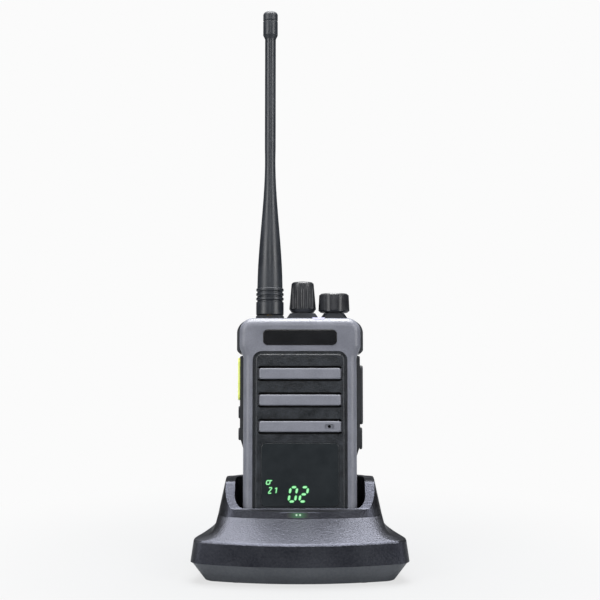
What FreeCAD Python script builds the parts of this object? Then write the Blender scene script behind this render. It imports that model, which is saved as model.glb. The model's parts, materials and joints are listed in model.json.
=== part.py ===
import FreeCAD, Part

import math
import os

from FreeCAD import Placement, Rotation, Vector

# Handheld two way radio standing in its desktop charger.  Millimetres, +Z up, front faces -Y.
# The world origin is on the table under the middle of the charger.
# The radio is modelled upright about its own origin, the middle of its bottom face
# (x across, y through its depth, z up its height), and is then placed by LEAN.

# ---------------------------------------------------------------- driving dimensions
# radio casing
body_height = 110.0
body_width = 54.4
head_width = 58.3
head_height = 14.1
waist_height = 4.8
rear_head_width = 61.8
rear_head_height = 16.4
front_depth = 14.5
seal_depth = 0.8
chassis_depth = 8.7
battery_depth = 10.7
battery_gap = 0.3
casing_wall = 2.0
front_wall = 2.3
rear_wall = 1.8
edge_round = 3.9
head_corner = 6.6
foot_corner = 5.0
waist_round = 6.0
rear_edge_round = 2.4
seal_inset = 0.4

# grille panel and what sits in it
panel_width = 44.8
panel_top_drop = 16.3
panel_foot = 9.0
panel_corner = 4.2
panel_thick = 1.7
panel_proud = 0.5
panel_edge_round = 0.9
panel_groove = 1.0
panel_groove_depth = 1.0
panel_ledge = 1.4
bar_width = 38.9
bar_height = 5.2
bar_pitch = 12.6
bar_first_drop = 26.8
bar_count = 3
bar_slot_gap = 1.1
bar_end_gap = 0.7
bar_proud = 0.3
bar_flange = 1.2
bar_flange_thick = 0.7
felt_thick = 0.4
mic_hole_x = 14.0
mic_hole_radius = 0.75
mic_dimple_width = 4.6
mic_dimple_height = 2.3
mic_dimple_depth = 0.7
display_width = 37.0
display_height = 30.1
display_drop = 59.8
display_corner = 2.4
display_ledge = 1.2
display_module_thick = 2.8
window_thick = 1.0

# badge and status light
badge_width = 35.3
badge_height = 7.4
badge_drop = 9.45
badge_thick = 0.8
badge_corner = 2.3
light_x = 8.9
light_width = 5.8
light_depth = 3.4
light_setback = 1.6
light_stem = 2.4

# controls on top
control_y = 2.0
channel_x = 1.3
channel_radius = 6.6
channel_top_radius = 5.5
channel_knob_height = 15.4
channel_flutes = 14
volume_x = 16.8
volume_radius = 7.7
volume_knob_height = 9.4
volume_flutes = 7
knob_lift = 3.9
shaft_radius = 3.0
bushing_wall = 0.9
bushing_proud = 0.6
boss_height = 3.4
boss_fall = 2.4
channel_boss_margin = 2.1
volume_boss_margin = -0.2
channel_switch_size = 11.0
volume_control_size = 12.0
control_body_depth = 8.0

# antenna
antenna_x = -14.9
antenna_y = 3.0
antenna_length = 154.1
antenna_lift = 2.6
antenna_boss_height = 2.3
antenna_boss_fall = 0.6
antenna_base_radius = 6.8
antenna_shaft_radius = 2.71
antenna_tip_radius = 3.67
antenna_tip_height = 14.5
collar_height = 6.7
rib_pitch = 2.25
rib_count = 3
rib_depth = 0.55
flare_height = 69.5
stud_radius = 3.2
stud_length = 7.0
stud_core_length = 6.0
socket_wall = 1.4

# side controls
strip_thick = 1.9
strip_depth = 9.0
strip_top_drop = 17.4
left_strip_length = 46.0
right_strip_length = 49.8
strip_taper = 6.0
strip_inset = 0.2
ptt_drop = 18.5
ptt_length = 20.8
ptt_width = 7.0
ptt_proud = 1.1
ptt_travel = 0.8
side_key_drops = (42.2, 52.8)
side_key_length = 6.0
side_key_proud = 0.8
side_key_travel = 0.5
ptt_stem_length = 6.0
side_key_stem_length = 3.0
stem_depth = 3.0
side_switch_size = 3.2
side_switch_height = 1.4
side_board_thick = 1.0
side_board_overhang = 8.0
side_switch_stand_off = 2.9
jack_cover_drop = 22.3
jack_cover_length = 28.8
jack_anchor_length = 10.6
jack_hinge_gap = 1.5
jack_cover_proud = 1.5
jack_cover_margin = 0.6
jack_spacing = 9.0
jack_nose_wall = 1.2
jack_block_length = 9.0
jack_bore_depth = 11.0
jack_large_radius = 1.78
jack_small_radius = 1.28

# inside the radio
board_thick = 1.6
board_lead = 3.6
board_margin = 0.4
board_top_drop = 8.0
shield_width = 34.0
shield_height = 44.0
shield_foot = 34.0
shield_depth = 3.0
shield_wall = 0.4
speaker_radius = 17.0
speaker_x = -3.0
speaker_rim_depth = 2.0
speaker_rim_wall = 1.6
microphone_radius = 2.6
case_screw_inset = 8.5
case_screw_foot = 6.0
case_screw_drop = 9.0
case_screw_radius = 1.0
case_screw_length = 1.4
case_screw_head_radius = 2.0
case_screw_head_height = 1.2

# battery and belt clip
battery_width = 54.0
battery_head_gap = 2.2
battery_foot = 0.8
battery_wall = 1.4
battery_lid_thick = 1.2
cell_depth = 6.6
cell_gap = 1.0
latch_width = 15.2
latch_height = 4.6
latch_travel = 1.9
latch_depth = 4.4
latch_tongue_width = 8.0
latch_tongue_thick = 2.0
contact_x = 8.0
contact_z = 12.0
contact_pad_width = 5.0
contact_pad_height = 6.0
clip_width = 22.0
clip_length = 62.0
clip_thick = 2.2
clip_gap = 5.6
clip_pivot_drop = 9.5
clip_pin_radius = 1.25
clip_pin_setback = 1.9
clip_ear_radius = 1.9
clip_ear_thick = 3.0
clip_bracket_thick = 1.6
clip_thumb_height = 8.0

# charger
lean_deg = 8.0
seat_y = -1.5
seat_z = 9.4
charger_front = -41.0
charger_back = 33.5
charger_half_top = 49.0
band_splay = 1.9
foot_inset = 6.5
foot_front_inset = 4.0
foot_back_inset = 4.5
tray_seam = 0.5
charger_arc_radius = 155.0
parting_z = 9.2
deck_z = 19.6
ear_z = 42.2
ear_half = 35.9
ear_setback = 19.5
shoulder_half = 40.7
side_sweep = [(0.18, 0.28), (0.38, 0.60), (0.63, 0.90)]
flare_fall = 1.05
edge_bevel = 0.8
band_batter = 0.6
back_step = 1.2
back_batter = 0.05
back_wall_relief = 0.2
rear_wall_z = 38.6
rim_front = -23.0
rim_z = 27.5
rim_lip_z = 31.0
charger_wall = 2.4
tray_floor = 2.0
charger_front_corner = 6.0
charger_back_corner = 14.0
foot_pad_height = 0.4
foot_pad_radius = 5.0
pocket_half = 31.15
pocket_front_gap = 0.8
pocket_back_gap = 0.6
pocket_floor_gap = 0.3
pocket_wall = 2.0
pocket_corner = 5.0
guide_height = 16.0
guide_thick = 3.0
light_pipe_x = -1.0
light_pipe_half = 5.0
led_setback = 14.0
led_height = 2.2
led_size = 3.0
boss_inset = 6.4
boss_front_setback = 13.0
boss_back_setback = 8.4
rear_boss_inset = 1.2
boss_radius = 3.4
screw_radius = 1.25
screw_bite = 7.0
screw_head_radius = 2.4
screw_head_height = 1.2
screw_head_recess = 0.4
pad_shift = 9.0
pad_recess = 0.6
pad_margin = 1.5
peg_radius = 1.8
peg_inset = 2.5
rear_peg_inset = 0.6
peg_front_y = -18.0
peg_rear_y = 16.0
board_z = 6.0
board_inset = 4.0
board_relief = 0.4
board_waist_y = -15.0
board_side_gap = 2.0
inlet_x = 18.3
inlet_rise = 6.6
inlet_body_width = 9.2
inlet_body_depth = 7.4
inlet_bore_depth = 9.5
inlet_nose_radius = 4.0
inlet_radius = 2.85
inlet_pin_radius = 1.05
contact_pin_radius = 1.2
contact_flange_wall = 0.7
contact_flange_thick = 0.8
carrier_depth = 6.8
carrier_margin = 5.0

# fits
slide_gap = 0.3
running_gap = 0.05
rest_gap = 0.2

# ---------------------------------------------------------------- places worked out from them
casing_depth = front_depth + seal_depth + chassis_depth + battery_gap + battery_depth
y_front = -casing_depth / 2
y_seal = y_front + front_depth
y_chassis = y_seal + seal_depth
y_chassis_back = y_chassis + chassis_depth
y_battery = y_chassis_back + battery_gap
y_back = casing_depth / 2
half_body = body_width / 2
half_head = head_width / 2
half_rear_head = rear_head_width / 2
head_low = body_height - head_height
waist_low = head_low - waist_height
rear_head_low = body_height - rear_head_height
panel_top = body_height - panel_top_drop
panel_half = panel_width / 2
panel_y = y_front - panel_proud
panel_back = panel_y + panel_thick
bar_levels = [body_height - bar_first_drop - bar_pitch * n for n in range(bar_count)]
display_top = body_height - display_drop
display_low = display_top - display_height
badge_z = body_height - badge_drop
knob_z = body_height + knob_lift
antenna_z = body_height + antenna_lift
antenna_top = antenna_z + antenna_length
strip_top = body_height - strip_top_drop
strip_y = y_seal + strip_inset
strip_mid_y = strip_y + strip_depth / 2
ptt_top = body_height - ptt_drop
ptt_low = ptt_top - ptt_length
side_key_levels = [body_height - drop for drop in side_key_drops]
cover_top = body_height - jack_cover_drop
cover_low = cover_top - jack_cover_length
anchor_top = cover_low - jack_hinge_gap
anchor_low = anchor_top - jack_anchor_length
battery_top = rear_head_low - battery_head_gap
clip_pivot_z = body_height - clip_pivot_drop
clip_front_y = y_back + clip_gap
clip_pin_y = clip_front_y - clip_pin_setback
clip_ear_x = clip_width / 2 - clip_ear_thick
latch_y = y_back - latch_depth
felt_y = panel_back + bar_flange_thick
speaker_z = bar_levels[0] - bar_pitch * 0.75
board_y = y_seal - board_lead
board_back_y = board_y + board_thick
bushing_radius = shaft_radius + running_gap + bushing_wall
half_casing = half_body + rest_gap
inner_casing = half_casing - casing_wall
switch_back_x = -inner_casing + side_switch_stand_off
switch_face_x = switch_back_x - side_switch_height
cover_face_x = half_casing + strip_thick
cover_outer_x = cover_face_x + jack_cover_proud
anchor_outer_x = cover_outer_x - 0.4
jack_middle = (cover_top + cover_low) / 2
jack_levels = [jack_middle + jack_spacing / 2, jack_middle - jack_spacing / 2]
jack_nose_radius = jack_large_radius + jack_nose_wall
pocket_front = y_front - panel_proud - pocket_front_gap
pocket_back = y_back + pocket_back_gap
charger_half_band = charger_half_top + band_splay
charger_half_foot = charger_half_band - foot_inset
board_top_z = board_z + board_thick
led_y = charger_front + led_setback
led_top = board_top_z + led_height
boss_x = charger_half_foot - boss_inset
boss_front_y = charger_front + boss_front_setback
boss_back_y = charger_back - boss_back_setback
board_half = charger_half_foot - board_inset
inlet_z = board_top_z + inlet_rise
contact_flange_y = pocket_back + pocket_wall + 1.5

ear_y = rim_front + ear_setback
rim_rise = rim_z - deck_z
ear_rise = ear_z - deck_z
side_fall = charger_half_top - shoulder_half
tower_top_z = rim_z - 3.4
tower_back_inner = charger_back - edge_bevel - back_step - charger_wall - back_wall_relief
rear_boss_x = pocket_half - rear_boss_inset
board_low_share = (board_z - foot_pad_height) / (parting_z - foot_pad_height)
board_room_half = charger_half_foot + foot_inset * board_low_share - charger_wall - side_fall
board_rear_half = board_room_half - board_side_gap
foot_back = charger_back - foot_back_inset
spring_back_y = pocket_back + pocket_wall + carrier_depth - 1.2

LEAN = Placement(Vector(0, seat_y, seat_z), Rotation(Vector(1, 0, 0), -lean_deg))


# ---------------------------------------------------------------- helpers
def unit(vector):
    """The vector scaled to length one."""
    return vector * (1.0 / vector.Length)


def outline(corners, place):
    """Closed wire through corners (a, b, radius): straight sides joined by tangent arcs."""
    points = [place(a, b) for a, b, radius in corners]
    arcs = []
    for n, (a, b, radius) in enumerate(corners):
        corner = points[n]
        to_last = unit(points[n - 1] - corner)
        to_next = unit(points[(n + 1) % len(points)] - corner)
        half_angle = to_last.getAngle(to_next) / 2
        if radius <= 0 or half_angle > 1.57:
            arcs.append((corner, None, corner))
            continue
        reach = radius / math.tan(half_angle)
        middle = corner + unit(to_last + to_next) * (radius / math.sin(half_angle) - radius)
        arcs.append((corner + to_last * reach, middle, corner + to_next * reach))
    edges = []
    for n, (start, middle, end) in enumerate(arcs):
        if middle is not None:
            edges.append(Part.Arc(start, middle, end).toShape())
        following = arcs[(n + 1) % len(arcs)][0]
        if end.distanceToPoint(following) > 1e-6:
            edges.append(Part.LineSegment(end, following).toShape())
    return Part.Wire(edges)


def rect(a0, a1, b0, b1, radius=0.0):
    """Corners of a rectangle with one corner radius."""
    return [(a0, b0, radius), (a1, b0, radius), (a1, b1, radius), (a0, b1, radius)]


def front_slab(corners, y0, y1):
    """Outline seen from the front, extruded through the depth from y0 to y1."""
    wire = outline(corners, lambda a, b: Vector(a, y0, b))
    return Part.Face(wire).extrude(Vector(0, y1 - y0, 0))


def plan_slab(corners, z0, z1):
    """Outline seen from above, extruded from z0 to z1."""
    wire = outline(corners, lambda a, b: Vector(a, b, z0))
    return Part.Face(wire).extrude(Vector(0, 0, z1 - z0))


def side_slab(corners, x0, x1):
    """Outline seen from the side, as (y, z), extruded from x0 to x1."""
    wire = outline(corners, lambda a, b: Vector(x0, a, b))
    return Part.Face(wire).extrude(Vector(x1 - x0, 0, 0))


def box(x0, x1, y0, y1, z0, z1):
    """Block between two corners."""
    return Part.makeBox(x1 - x0, y1 - y0, z1 - z0, Vector(x0, y0, z0))


def rod(x, y, z, radius, length, direction=Vector(0, 0, 1)):
    """Cylinder from a point along a direction."""
    return Part.makeCylinder(radius, length, Vector(x, y, z), direction)


def turned(profile, x, y):
    """Solid of revolution about a vertical axis at x, y from edges drawn as (radius, z)."""
    solid = Part.Face(Part.Wire(profile)).revolve(Vector(0, 0, 0), Vector(0, 0, 1), 360)
    solid.translate(Vector(x, y, 0))
    return solid


def profile_lines(points):
    """Edges of a turned profile through (radius, z) points, not yet closed."""
    places = [Vector(r, 0, z) for r, z in points]
    return [Part.LineSegment(a, b).toShape() for a, b in zip(places, places[1:])]


def dome_arc(radius, z, top):
    """Profile arc from (radius, z) up to the axis at top, centred on the axis so the crown is smooth."""
    rise = top - z
    sphere = (radius ** 2 + rise ** 2) / (2 * rise)
    half_angle = math.asin(radius / sphere) / 2
    middle = Vector(sphere * math.sin(half_angle), 0, top - sphere * (1 - math.cos(half_angle)))
    return Part.Arc(Vector(radius, 0, z), middle, Vector(0, 0, top)).toShape()


def round_edges(solid, radius, chosen):
    """Fillet every edge for which chosen(edge) holds."""
    edges = [edge for edge in solid.Edges if chosen(edge)]
    return solid.makeFillet(radius, edges)


def lies_at_y(level):
    """Picks the edges that lie wholly at one depth."""
    def chosen(edge):
        bound = edge.BoundBox
        return abs(bound.YMin - level) < 1e-4 and abs(bound.YMax - level) < 1e-4
    return chosen


def lies_at_x(level):
    """Picks the edges that lie wholly in one plane across the width."""
    def chosen(edge):
        bound = edge.BoundBox
        return abs(bound.XMin - level) < 1e-4 and abs(bound.XMax - level) < 1e-4
    return chosen


def union(first, *others):
    """Fused solid with its shared faces merged."""
    return first.fuse(list(others)).removeSplitter()


# ---------------------------------------------------------------- radio: casing
def casing_corners(inset, bottom_inset):
    """Front outline of the grey shell: straight body, waist, and wider head."""
    low = half_body - inset
    high = half_head - inset
    top = body_height - inset
    corner = head_corner - inset
    foot = foot_corner - inset
    waist = waist_round
    return [(-low, bottom_inset, foot), (low, bottom_inset, foot),
            (low, waist_low, waist), (high, head_low, waist),
            (high, top, corner), (-high, top, corner),
            (-high, head_low, waist), (-low, waist_low, waist)]


def panel_corners(inset):
    """Front outline of the inset grille panel, or of its opening for a negative inset."""
    half = panel_half - inset
    return rect(-half, half, panel_foot + inset, panel_top - inset, panel_corner - inset)


def badge_corners(inset):
    """Front outline of the bare badge plate."""
    half = badge_width / 2 - inset
    tall = badge_height / 2 - inset
    return rect(-half, half, badge_z - tall, badge_z + tall, badge_corner - inset)


def light_block(grow):
    """Clear bar at the top front edge of the head."""
    half = light_width / 2 + grow
    y0 = y_front + light_setback
    return box(light_x - half, light_x + half, y0 - grow, y0 + light_depth + grow,
               body_height - casing_wall - 1.0, body_height + rest_gap)


def make_front_shell():
    shell = front_slab(casing_corners(0, 0), y_front, y_seal)
    shell = round_edges(shell, edge_round, lies_at_y(y_front))
    hollow = front_slab(casing_corners(casing_wall, casing_wall), y_front + front_wall, y_seal + 1)
    shell = shell.cut(hollow)
    shell = shell.cut(front_slab(panel_corners(-slide_gap), y_front - 1, panel_back))
    shell = shell.cut(front_slab(panel_corners(panel_ledge), panel_back - 0.01, y_front + front_wall + 1))
    shell = shell.cut(front_slab(badge_corners(-slide_gap / 2), y_front - 1, y_front + badge_thick))
    return shell.cut(light_block(0))


def make_badge_plate():
    plate = front_slab(badge_corners(0), y_front - rest_gap, y_front + badge_thick)
    return round_edges(plate, 0.3, lies_at_y(y_front - rest_gap))


def make_top_light_pipe():
    lens = light_block(0)
    bar_z = body_height - casing_wall - 1.0
    half = light_stem / 2
    stem = box(light_x - half, light_x + half, board_y - 1.0, board_y, bar_z - 3.0, bar_z)
    bridge_y = y_front + light_setback + 1.0
    bridge = box(light_x - half, light_x + half, bridge_y, board_y, bar_z - 1.5, bar_z)
    return union(lens, stem, bridge)


def make_body_seal():
    """Flat gasket between the two shells."""
    inner_inset = casing_wall - seal_inset
    outer = front_slab(casing_corners(seal_inset, seal_inset), y_seal, y_chassis)
    inner = front_slab(casing_corners(inner_inset, inner_inset), y_seal - 1, y_chassis + 1)
    return outer.cut(inner)


def knob_places():
    """Axis place of the channel and the volume control."""
    return [(channel_x, control_y), (volume_x, control_y)]


def make_rear_housing():
    """Dark rear shell: a shallow tray behind the body and a full-depth head around the controls."""
    half = half_casing
    low = front_slab(rect(-half, half, 0, rear_head_low + 1, foot_corner)[:2]
                     + [(half, rear_head_low + 1, 0), (-half, rear_head_low + 1, 0)],
                     y_chassis, y_chassis_back)
    head = front_slab([(-half_rear_head, rear_head_low, 2.0), (half_rear_head, rear_head_low, 2.0),
                       (half_rear_head, body_height, head_corner),
                       (-half_rear_head, body_height, head_corner)], y_chassis, y_back)
    head = round_edges(head, rear_edge_round, lies_at_y(y_back))
    housing = union(low, head)
    cones = []
    boss_radii = (channel_radius + channel_boss_margin, volume_radius + volume_boss_margin)
    for (x, y), radius in zip(knob_places(), boss_radii):
        cones.append(Part.makeCone(radius, radius - boss_fall, boss_height, Vector(x, y, body_height)))
    socket_boss = Part.makeCone(antenna_base_radius + antenna_boss_fall, antenna_base_radius,
                                antenna_boss_height, Vector(antenna_x, antenna_y, body_height))
    behind_front = box(-100, 100, y_chassis, 100, 0, 300)
    cones = [cone.common(behind_front) for cone in cones + [socket_boss]]
    housing = union(housing, *cones)
    inner = inner_casing
    tray = box(-inner, inner, y_chassis - 1, y_chassis_back - rear_wall, casing_wall, rear_head_low + 1)
    inner_head = half_rear_head - casing_wall
    cavity = front_slab(rect(-inner_head, inner_head, rear_head_low + casing_wall,
                             body_height - casing_wall, head_corner - casing_wall),
                        y_chassis - 1, y_back - casing_wall)
    neck = box(-inner, inner, y_chassis - 1, y_chassis_back - rear_wall,
               rear_head_low - 1, rear_head_low + casing_wall + 1)
    housing = housing.cut([tray, cavity, neck])
    holes = [rod(x, y, body_height - 4, bushing_radius + running_gap, 12) for x, y in knob_places()]
    holes.append(rod(antenna_x, antenna_y, body_height - 4, stud_radius + socket_wall + running_gap, 10))
    wall_x = inner_casing - 1
    ptt_reach = ptt_stem_length / 2 + slide_gap
    key_reach = side_key_stem_length / 2 + slide_gap
    holes.append(box(-half - 1, -wall_x, strip_mid_y - stem_depth / 2 - slide_gap,
                     strip_mid_y + stem_depth / 2 + slide_gap,
                     ptt_low + ptt_length / 2 - ptt_reach, ptt_low + ptt_length / 2 + ptt_reach))
    for level in side_key_levels:
        middle = level - side_key_length / 2
        holes.append(box(-half - 1, -wall_x, strip_mid_y - stem_depth / 2 - slide_gap,
                         strip_mid_y + stem_depth / 2 + slide_gap,
                         middle - key_reach, middle + key_reach))
    for z in jack_levels:
        holes.append(rod(half + 1, strip_mid_y, z, jack_nose_radius + running_gap,
                         casing_wall + 2, Vector(-1, 0, 0)))
    holes.append(latch_tongue(slide_gap))
    return housing.cut(holes)


def make_rear_screws():
    """Four screws from the front of the rear tray wall into the battery bay."""
    screws = []
    reach = half_body - case_screw_inset
    shank_y = y_chassis_back - rear_wall - case_screw_length
    head_y = shank_y - case_screw_head_height
    back = Vector(0, 1, 0)
    for x in (-reach, reach):
        for z in (case_screw_foot, rear_head_low - case_screw_drop):
            shank = rod(x, shank_y, z, case_screw_radius, case_screw_length, back)
            head = rod(x, head_y, z, case_screw_head_radius, case_screw_head_height, back)
            screws.append(union(shank, head))
    return Part.makeCompound(screws)


# ---------------------------------------------------------------- radio: grille and display
def bar_window(level, grow=0.0):
    """Space in the panel for one bar, with a slot above and one below it."""
    half = bar_width / 2 + bar_end_gap + grow
    tall = bar_height / 2 + bar_slot_gap + grow
    return rect(-half, half, level - tall, level + tall, 1.6)


def display_corners(inset):
    half = display_width / 2 - inset
    return rect(-half, half, display_low + inset, display_top - inset, display_corner - min(inset, 1.0))


def make_speaker_panel():
    """Black panel: a raised field inside a narrow groove, open for the bars and the display."""
    rim = front_slab(panel_corners(0), panel_y + panel_groove_depth, panel_back)
    field = front_slab(panel_corners(panel_groove), panel_y, panel_back)
    panel = union(rim, round_edges(field, panel_edge_round, lies_at_y(panel_y)))
    for level in bar_levels:
        panel = panel.cut(front_slab(bar_window(level), panel_y - 1, panel_back + 1))
    panel = panel.cut(front_slab(display_corners(-0.1), panel_y - 1, panel_y + window_thick))
    return panel.cut(front_slab(display_corners(display_ledge), panel_y, panel_back + 1))


def make_grille_bar(level, with_mic_hole):
    """Moulded bar with a flange that bears on the back of the panel."""
    half = bar_width / 2
    tall = bar_height / 2
    bar = front_slab(rect(-half, half, level - tall, level + tall, 1.0), panel_y - bar_proud, panel_back)
    bar = round_edges(bar, 0.7, lies_at_y(panel_y - bar_proud))
    flange = box(-half - bar_flange, half + bar_flange, panel_back, felt_y, level - tall, level + tall)
    bar = union(bar, flange)
    if with_mic_hole:
        reach = mic_dimple_width / 2
        deep = mic_dimple_height / 2
        corners = rect(mic_hole_x - reach, mic_hole_x + reach, level - deep, level + deep, deep - 0.1)
        face_y = panel_y - bar_proud
        bar = bar.cut(front_slab(corners, face_y - 1, face_y + mic_dimple_depth))
        bar = bar.cut(rod(mic_hole_x, panel_y - 2, level, mic_hole_radius, 6, Vector(0, 1, 0)))
    return bar


def make_grille_felt():
    """Black acoustic cloth behind the bars, open over the microphone."""
    top = bar_levels[0] + bar_height / 2 + 2.5
    low = bar_levels[-1] - bar_height / 2 - 2.0
    half = bar_width / 2 + 1.0
    felt = front_slab(rect(-half, half, low, top, 1.0), felt_y, felt_y + felt_thick)
    return felt.cut(rod(mic_hole_x, felt_y - 1, bar_levels[-1], 1.5, 3, Vector(0, 1, 0)))


def make_speaker_frame():
    """Pressed steel basket and magnet, bearing on the main board."""
    y0 = felt_y + felt_thick
    back = Vector(0, 1, 0)
    rim = rod(speaker_x, y0, speaker_z, speaker_radius, speaker_rim_depth, back)
    bowl = rod(speaker_x, y0, speaker_z, speaker_radius - speaker_rim_wall, speaker_rim_depth * 0.6, back)
    magnet_y = y0 + speaker_rim_depth
    magnet = rod(speaker_x, magnet_y, speaker_z, speaker_radius / 2, board_y - magnet_y, back)
    return union(rim.cut(bowl), magnet)


def make_speaker_cone():
    """Shallow cone inside the speaker's rim."""
    start = Vector(speaker_x, felt_y + felt_thick + slide_gap, speaker_z)
    wide = speaker_radius - speaker_rim_wall - 0.1
    deep = speaker_rim_depth * 0.6 - slide_gap
    return Part.makeCone(wide, speaker_radius * 0.3, deep, start, Vector(0, 1, 0))


def make_microphone():
    """Capsule in its rubber boot, between the felt and the main board."""
    y0 = felt_y + felt_thick
    boot = rod(mic_hole_x, y0, bar_levels[-1], microphone_radius, board_y - y0, Vector(0, 1, 0))
    return boot.cut(rod(mic_hole_x, y0, bar_levels[-1], 1.2, 0.8, Vector(0, 1, 0)))


def make_display_window():
    window = front_slab(display_corners(0), panel_y, panel_y + window_thick)
    return round_edges(window, 0.3, lies_at_y(panel_y))


def make_display_module():
    """Light emitting display on four legs that stand on the main board."""
    inset = display_ledge + 0.4
    half = display_width / 2 - inset
    y0 = panel_y + window_thick
    plate_back = y0 + display_module_thick
    plate = box(-half, half, y0, plate_back, display_low + inset, display_top - inset)
    legs = []
    for x in (-half + 1, half - 3):
        for z in (display_low + inset + 1, display_top - inset - 3):
            legs.append(box(x, x + 2, plate_back, board_y, z, z + 2))
    return union(plate, *legs)


# ---------------------------------------------------------------- radio: electronics
def make_main_board():
    """Full-width circuit board inside the front shell."""
    half = half_body - casing_wall - board_margin
    corners = rect(-half, half, casing_wall + board_margin, body_height - board_top_drop, 2.0)
    return front_slab(corners, board_y, board_back_y)


def make_rf_shield():
    """Pressed can over the radio circuits on the back of the board."""
    y0 = board_back_y
    half = shield_width / 2
    top = shield_foot + shield_height
    inner_half = half - shield_wall
    outer = box(-half, half, y0, y0 + shield_depth, shield_foot, top)
    inner = box(-inner_half, inner_half, y0 - 1, y0 + shield_depth - shield_wall,
                shield_foot + shield_wall, top - shield_wall)
    return outer.cut(inner)


def control_body(x, size):
    """Switch or potentiometer body under the head's top wall, with its bushing up through it."""
    top = body_height - casing_wall
    body = box(x - size / 2, x + size / 2, control_y - size / 2, control_y + size / 2,
               top - control_body_depth, top)
    bushing = rod(x, control_y, top, bushing_radius, casing_wall + boss_height + bushing_proud)
    bore = rod(x, control_y, top - control_body_depth + 2.0, shaft_radius + running_gap, 20)
    return union(body, bushing).cut(bore)


def control_shaft(x, knob_height):
    """Metal shaft from inside the control body up into its knob."""
    start = body_height - casing_wall - control_body_depth + 2.0 + rest_gap
    return rod(x, control_y, start, shaft_radius, knob_z + knob_height - 3.0 - start)


def make_side_switches():
    """Flexible switch board along the inside of the left wall, with three tactile switches."""
    x0 = switch_back_x
    half = side_switch_size / 2
    strip = box(x0, x0 + side_board_thick, y_chassis + slide_gap, y_chassis_back - rear_wall,
                side_key_levels[1] - side_board_overhang, ptt_top)
    switches = [strip]
    centres = [ptt_low + ptt_length / 2] + [level - side_key_length / 2 for level in side_key_levels]
    for z in centres:
        switches.append(box(switch_face_x, x0, strip_mid_y - half, strip_mid_y + half, z - half, z + half))
    return union(*switches)


# ---------------------------------------------------------------- radio: knobs and antenna
def fluted(knob, x, count, flute_radius, bite, radius, z0, height, phase=0.0):
    """Cut evenly spaced vertical flutes into a knob."""
    cutters = []
    for n in range(count):
        angle = 2 * math.pi * n / count + phase
        reach = radius + flute_radius - bite
        cutters.append(rod(x + reach * math.cos(angle), control_y + reach * math.sin(angle), z0,
                           flute_radius, height))
    return knob.cut(cutters)


def knob_bores(x, knob_height):
    """Counterbore over the bushing and the bore that grips the shaft."""
    clear = bushing_radius + 0.5
    over_bushing = boss_height + bushing_proud + 0.6 - knob_lift
    counter = rod(x, control_y, knob_z - 1, clear, 1 + max(over_bushing, 0.0) + 0.6)
    return [counter, rod(x, control_y, knob_z - 1, shaft_radius, knob_height - 2.0)]


def make_channel_knob():
    """Tall fluted knob, widest low down, with a domed top."""
    top = knob_z + channel_knob_height
    edges = profile_lines([(0, knob_z), (channel_radius - 1.1, knob_z), (channel_radius, knob_z + 1.6),
                           (channel_top_radius, top - 1.4)])
    edges.append(Part.Arc(Vector(channel_top_radius, 0, top - 1.4),
                          Vector(channel_top_radius - 0.5, 0, top - 0.7),
                          Vector(channel_top_radius - 1.6, 0, top - 0.4)).toShape())
    edges.append(dome_arc(channel_top_radius - 1.6, top - 0.4, top))
    edges.append(Part.LineSegment(Vector(0, 0, top), Vector(0, 0, knob_z)).toShape())
    knob = turned(edges, channel_x, control_y)
    knob = fluted(knob, channel_x, channel_flutes, 1.1, 0.75, channel_radius - 0.3, knob_z + 1.5,
                  channel_knob_height, math.pi / channel_flutes)
    return knob.cut(knob_bores(channel_x, channel_knob_height))


def make_volume_knob():
    """Short wide knob with broad scallops and one deeper pointer groove."""
    top = knob_z + volume_knob_height
    edges = profile_lines([(0, knob_z), (volume_radius - 1.0, knob_z), (volume_radius, knob_z + 0.9),
                           (volume_radius - 0.4, top - 0.9), (volume_radius - 1.3, top - 0.2), (0, top),
                           (0, knob_z)])
    knob = turned(edges, volume_x, control_y)
    knob = fluted(knob, volume_x, volume_flutes, 4.2, 0.75, volume_radius, knob_z + 0.4,
                  volume_knob_height, math.radians(-90 + 180 / volume_flutes))
    return knob.cut(knob_bores(volume_x, volume_knob_height))


def make_antenna_whip():
    """Moulded whip: plain collar, ribs, a long flare into the shaft, and a capped tip."""
    base = antenna_base_radius
    z = antenna_z
    points = [(0, z), (base - 0.4, z), (base, z + 0.4), (base, z + collar_height - 0.3),
              (base - rib_depth, z + collar_height)]
    level = z + collar_height + 0.5
    for n in range(rib_count):
        points += [(base - rib_depth, level), (base, level + 0.4),
                   (base, level + rib_pitch - 0.9), (base - rib_depth, level + rib_pitch - 0.5)]
        level += rib_pitch
    points.append((base - rib_depth, level))
    edges = profile_lines(points)
    flare_top = level + flare_height
    root = base - rib_depth
    shaft = antenna_shaft_radius
    flare = Part.BSplineCurve()
    fall = root - shaft
    flare.interpolate([Vector(root, 0, level), Vector(shaft + fall * 0.76, 0, level + flare_height * 0.27),
                       Vector(shaft + fall * 0.21, 0, level + flare_height * 0.62),
                       Vector(shaft, 0, flare_top)])
    edges.append(flare.toShape())
    cap_low = antenna_top - antenna_tip_height
    cap = antenna_tip_radius
    groove = antenna_top - 5.2
    edges += profile_lines([(shaft, flare_top), (shaft, cap_low), (cap, cap_low + 2.0),
                            (cap, groove - 0.4), (cap - 0.35, groove), (cap, groove + 0.4),
                            (cap, antenna_top - 1.9), (cap - 0.35, antenna_top - 1.1),
                            (cap - 1.2, antenna_top - 0.5)])
    edges.append(dome_arc(cap - 1.2, antenna_top - 0.5, antenna_top))
    edges.append(Part.LineSegment(Vector(0, 0, antenna_top), Vector(0, 0, z)).toShape())
    whip = turned(edges, antenna_x, antenna_y)
    return whip.cut(rod(antenna_x, antenna_y, z - 1, stud_radius - 0.8, 1 + stud_core_length))


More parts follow.
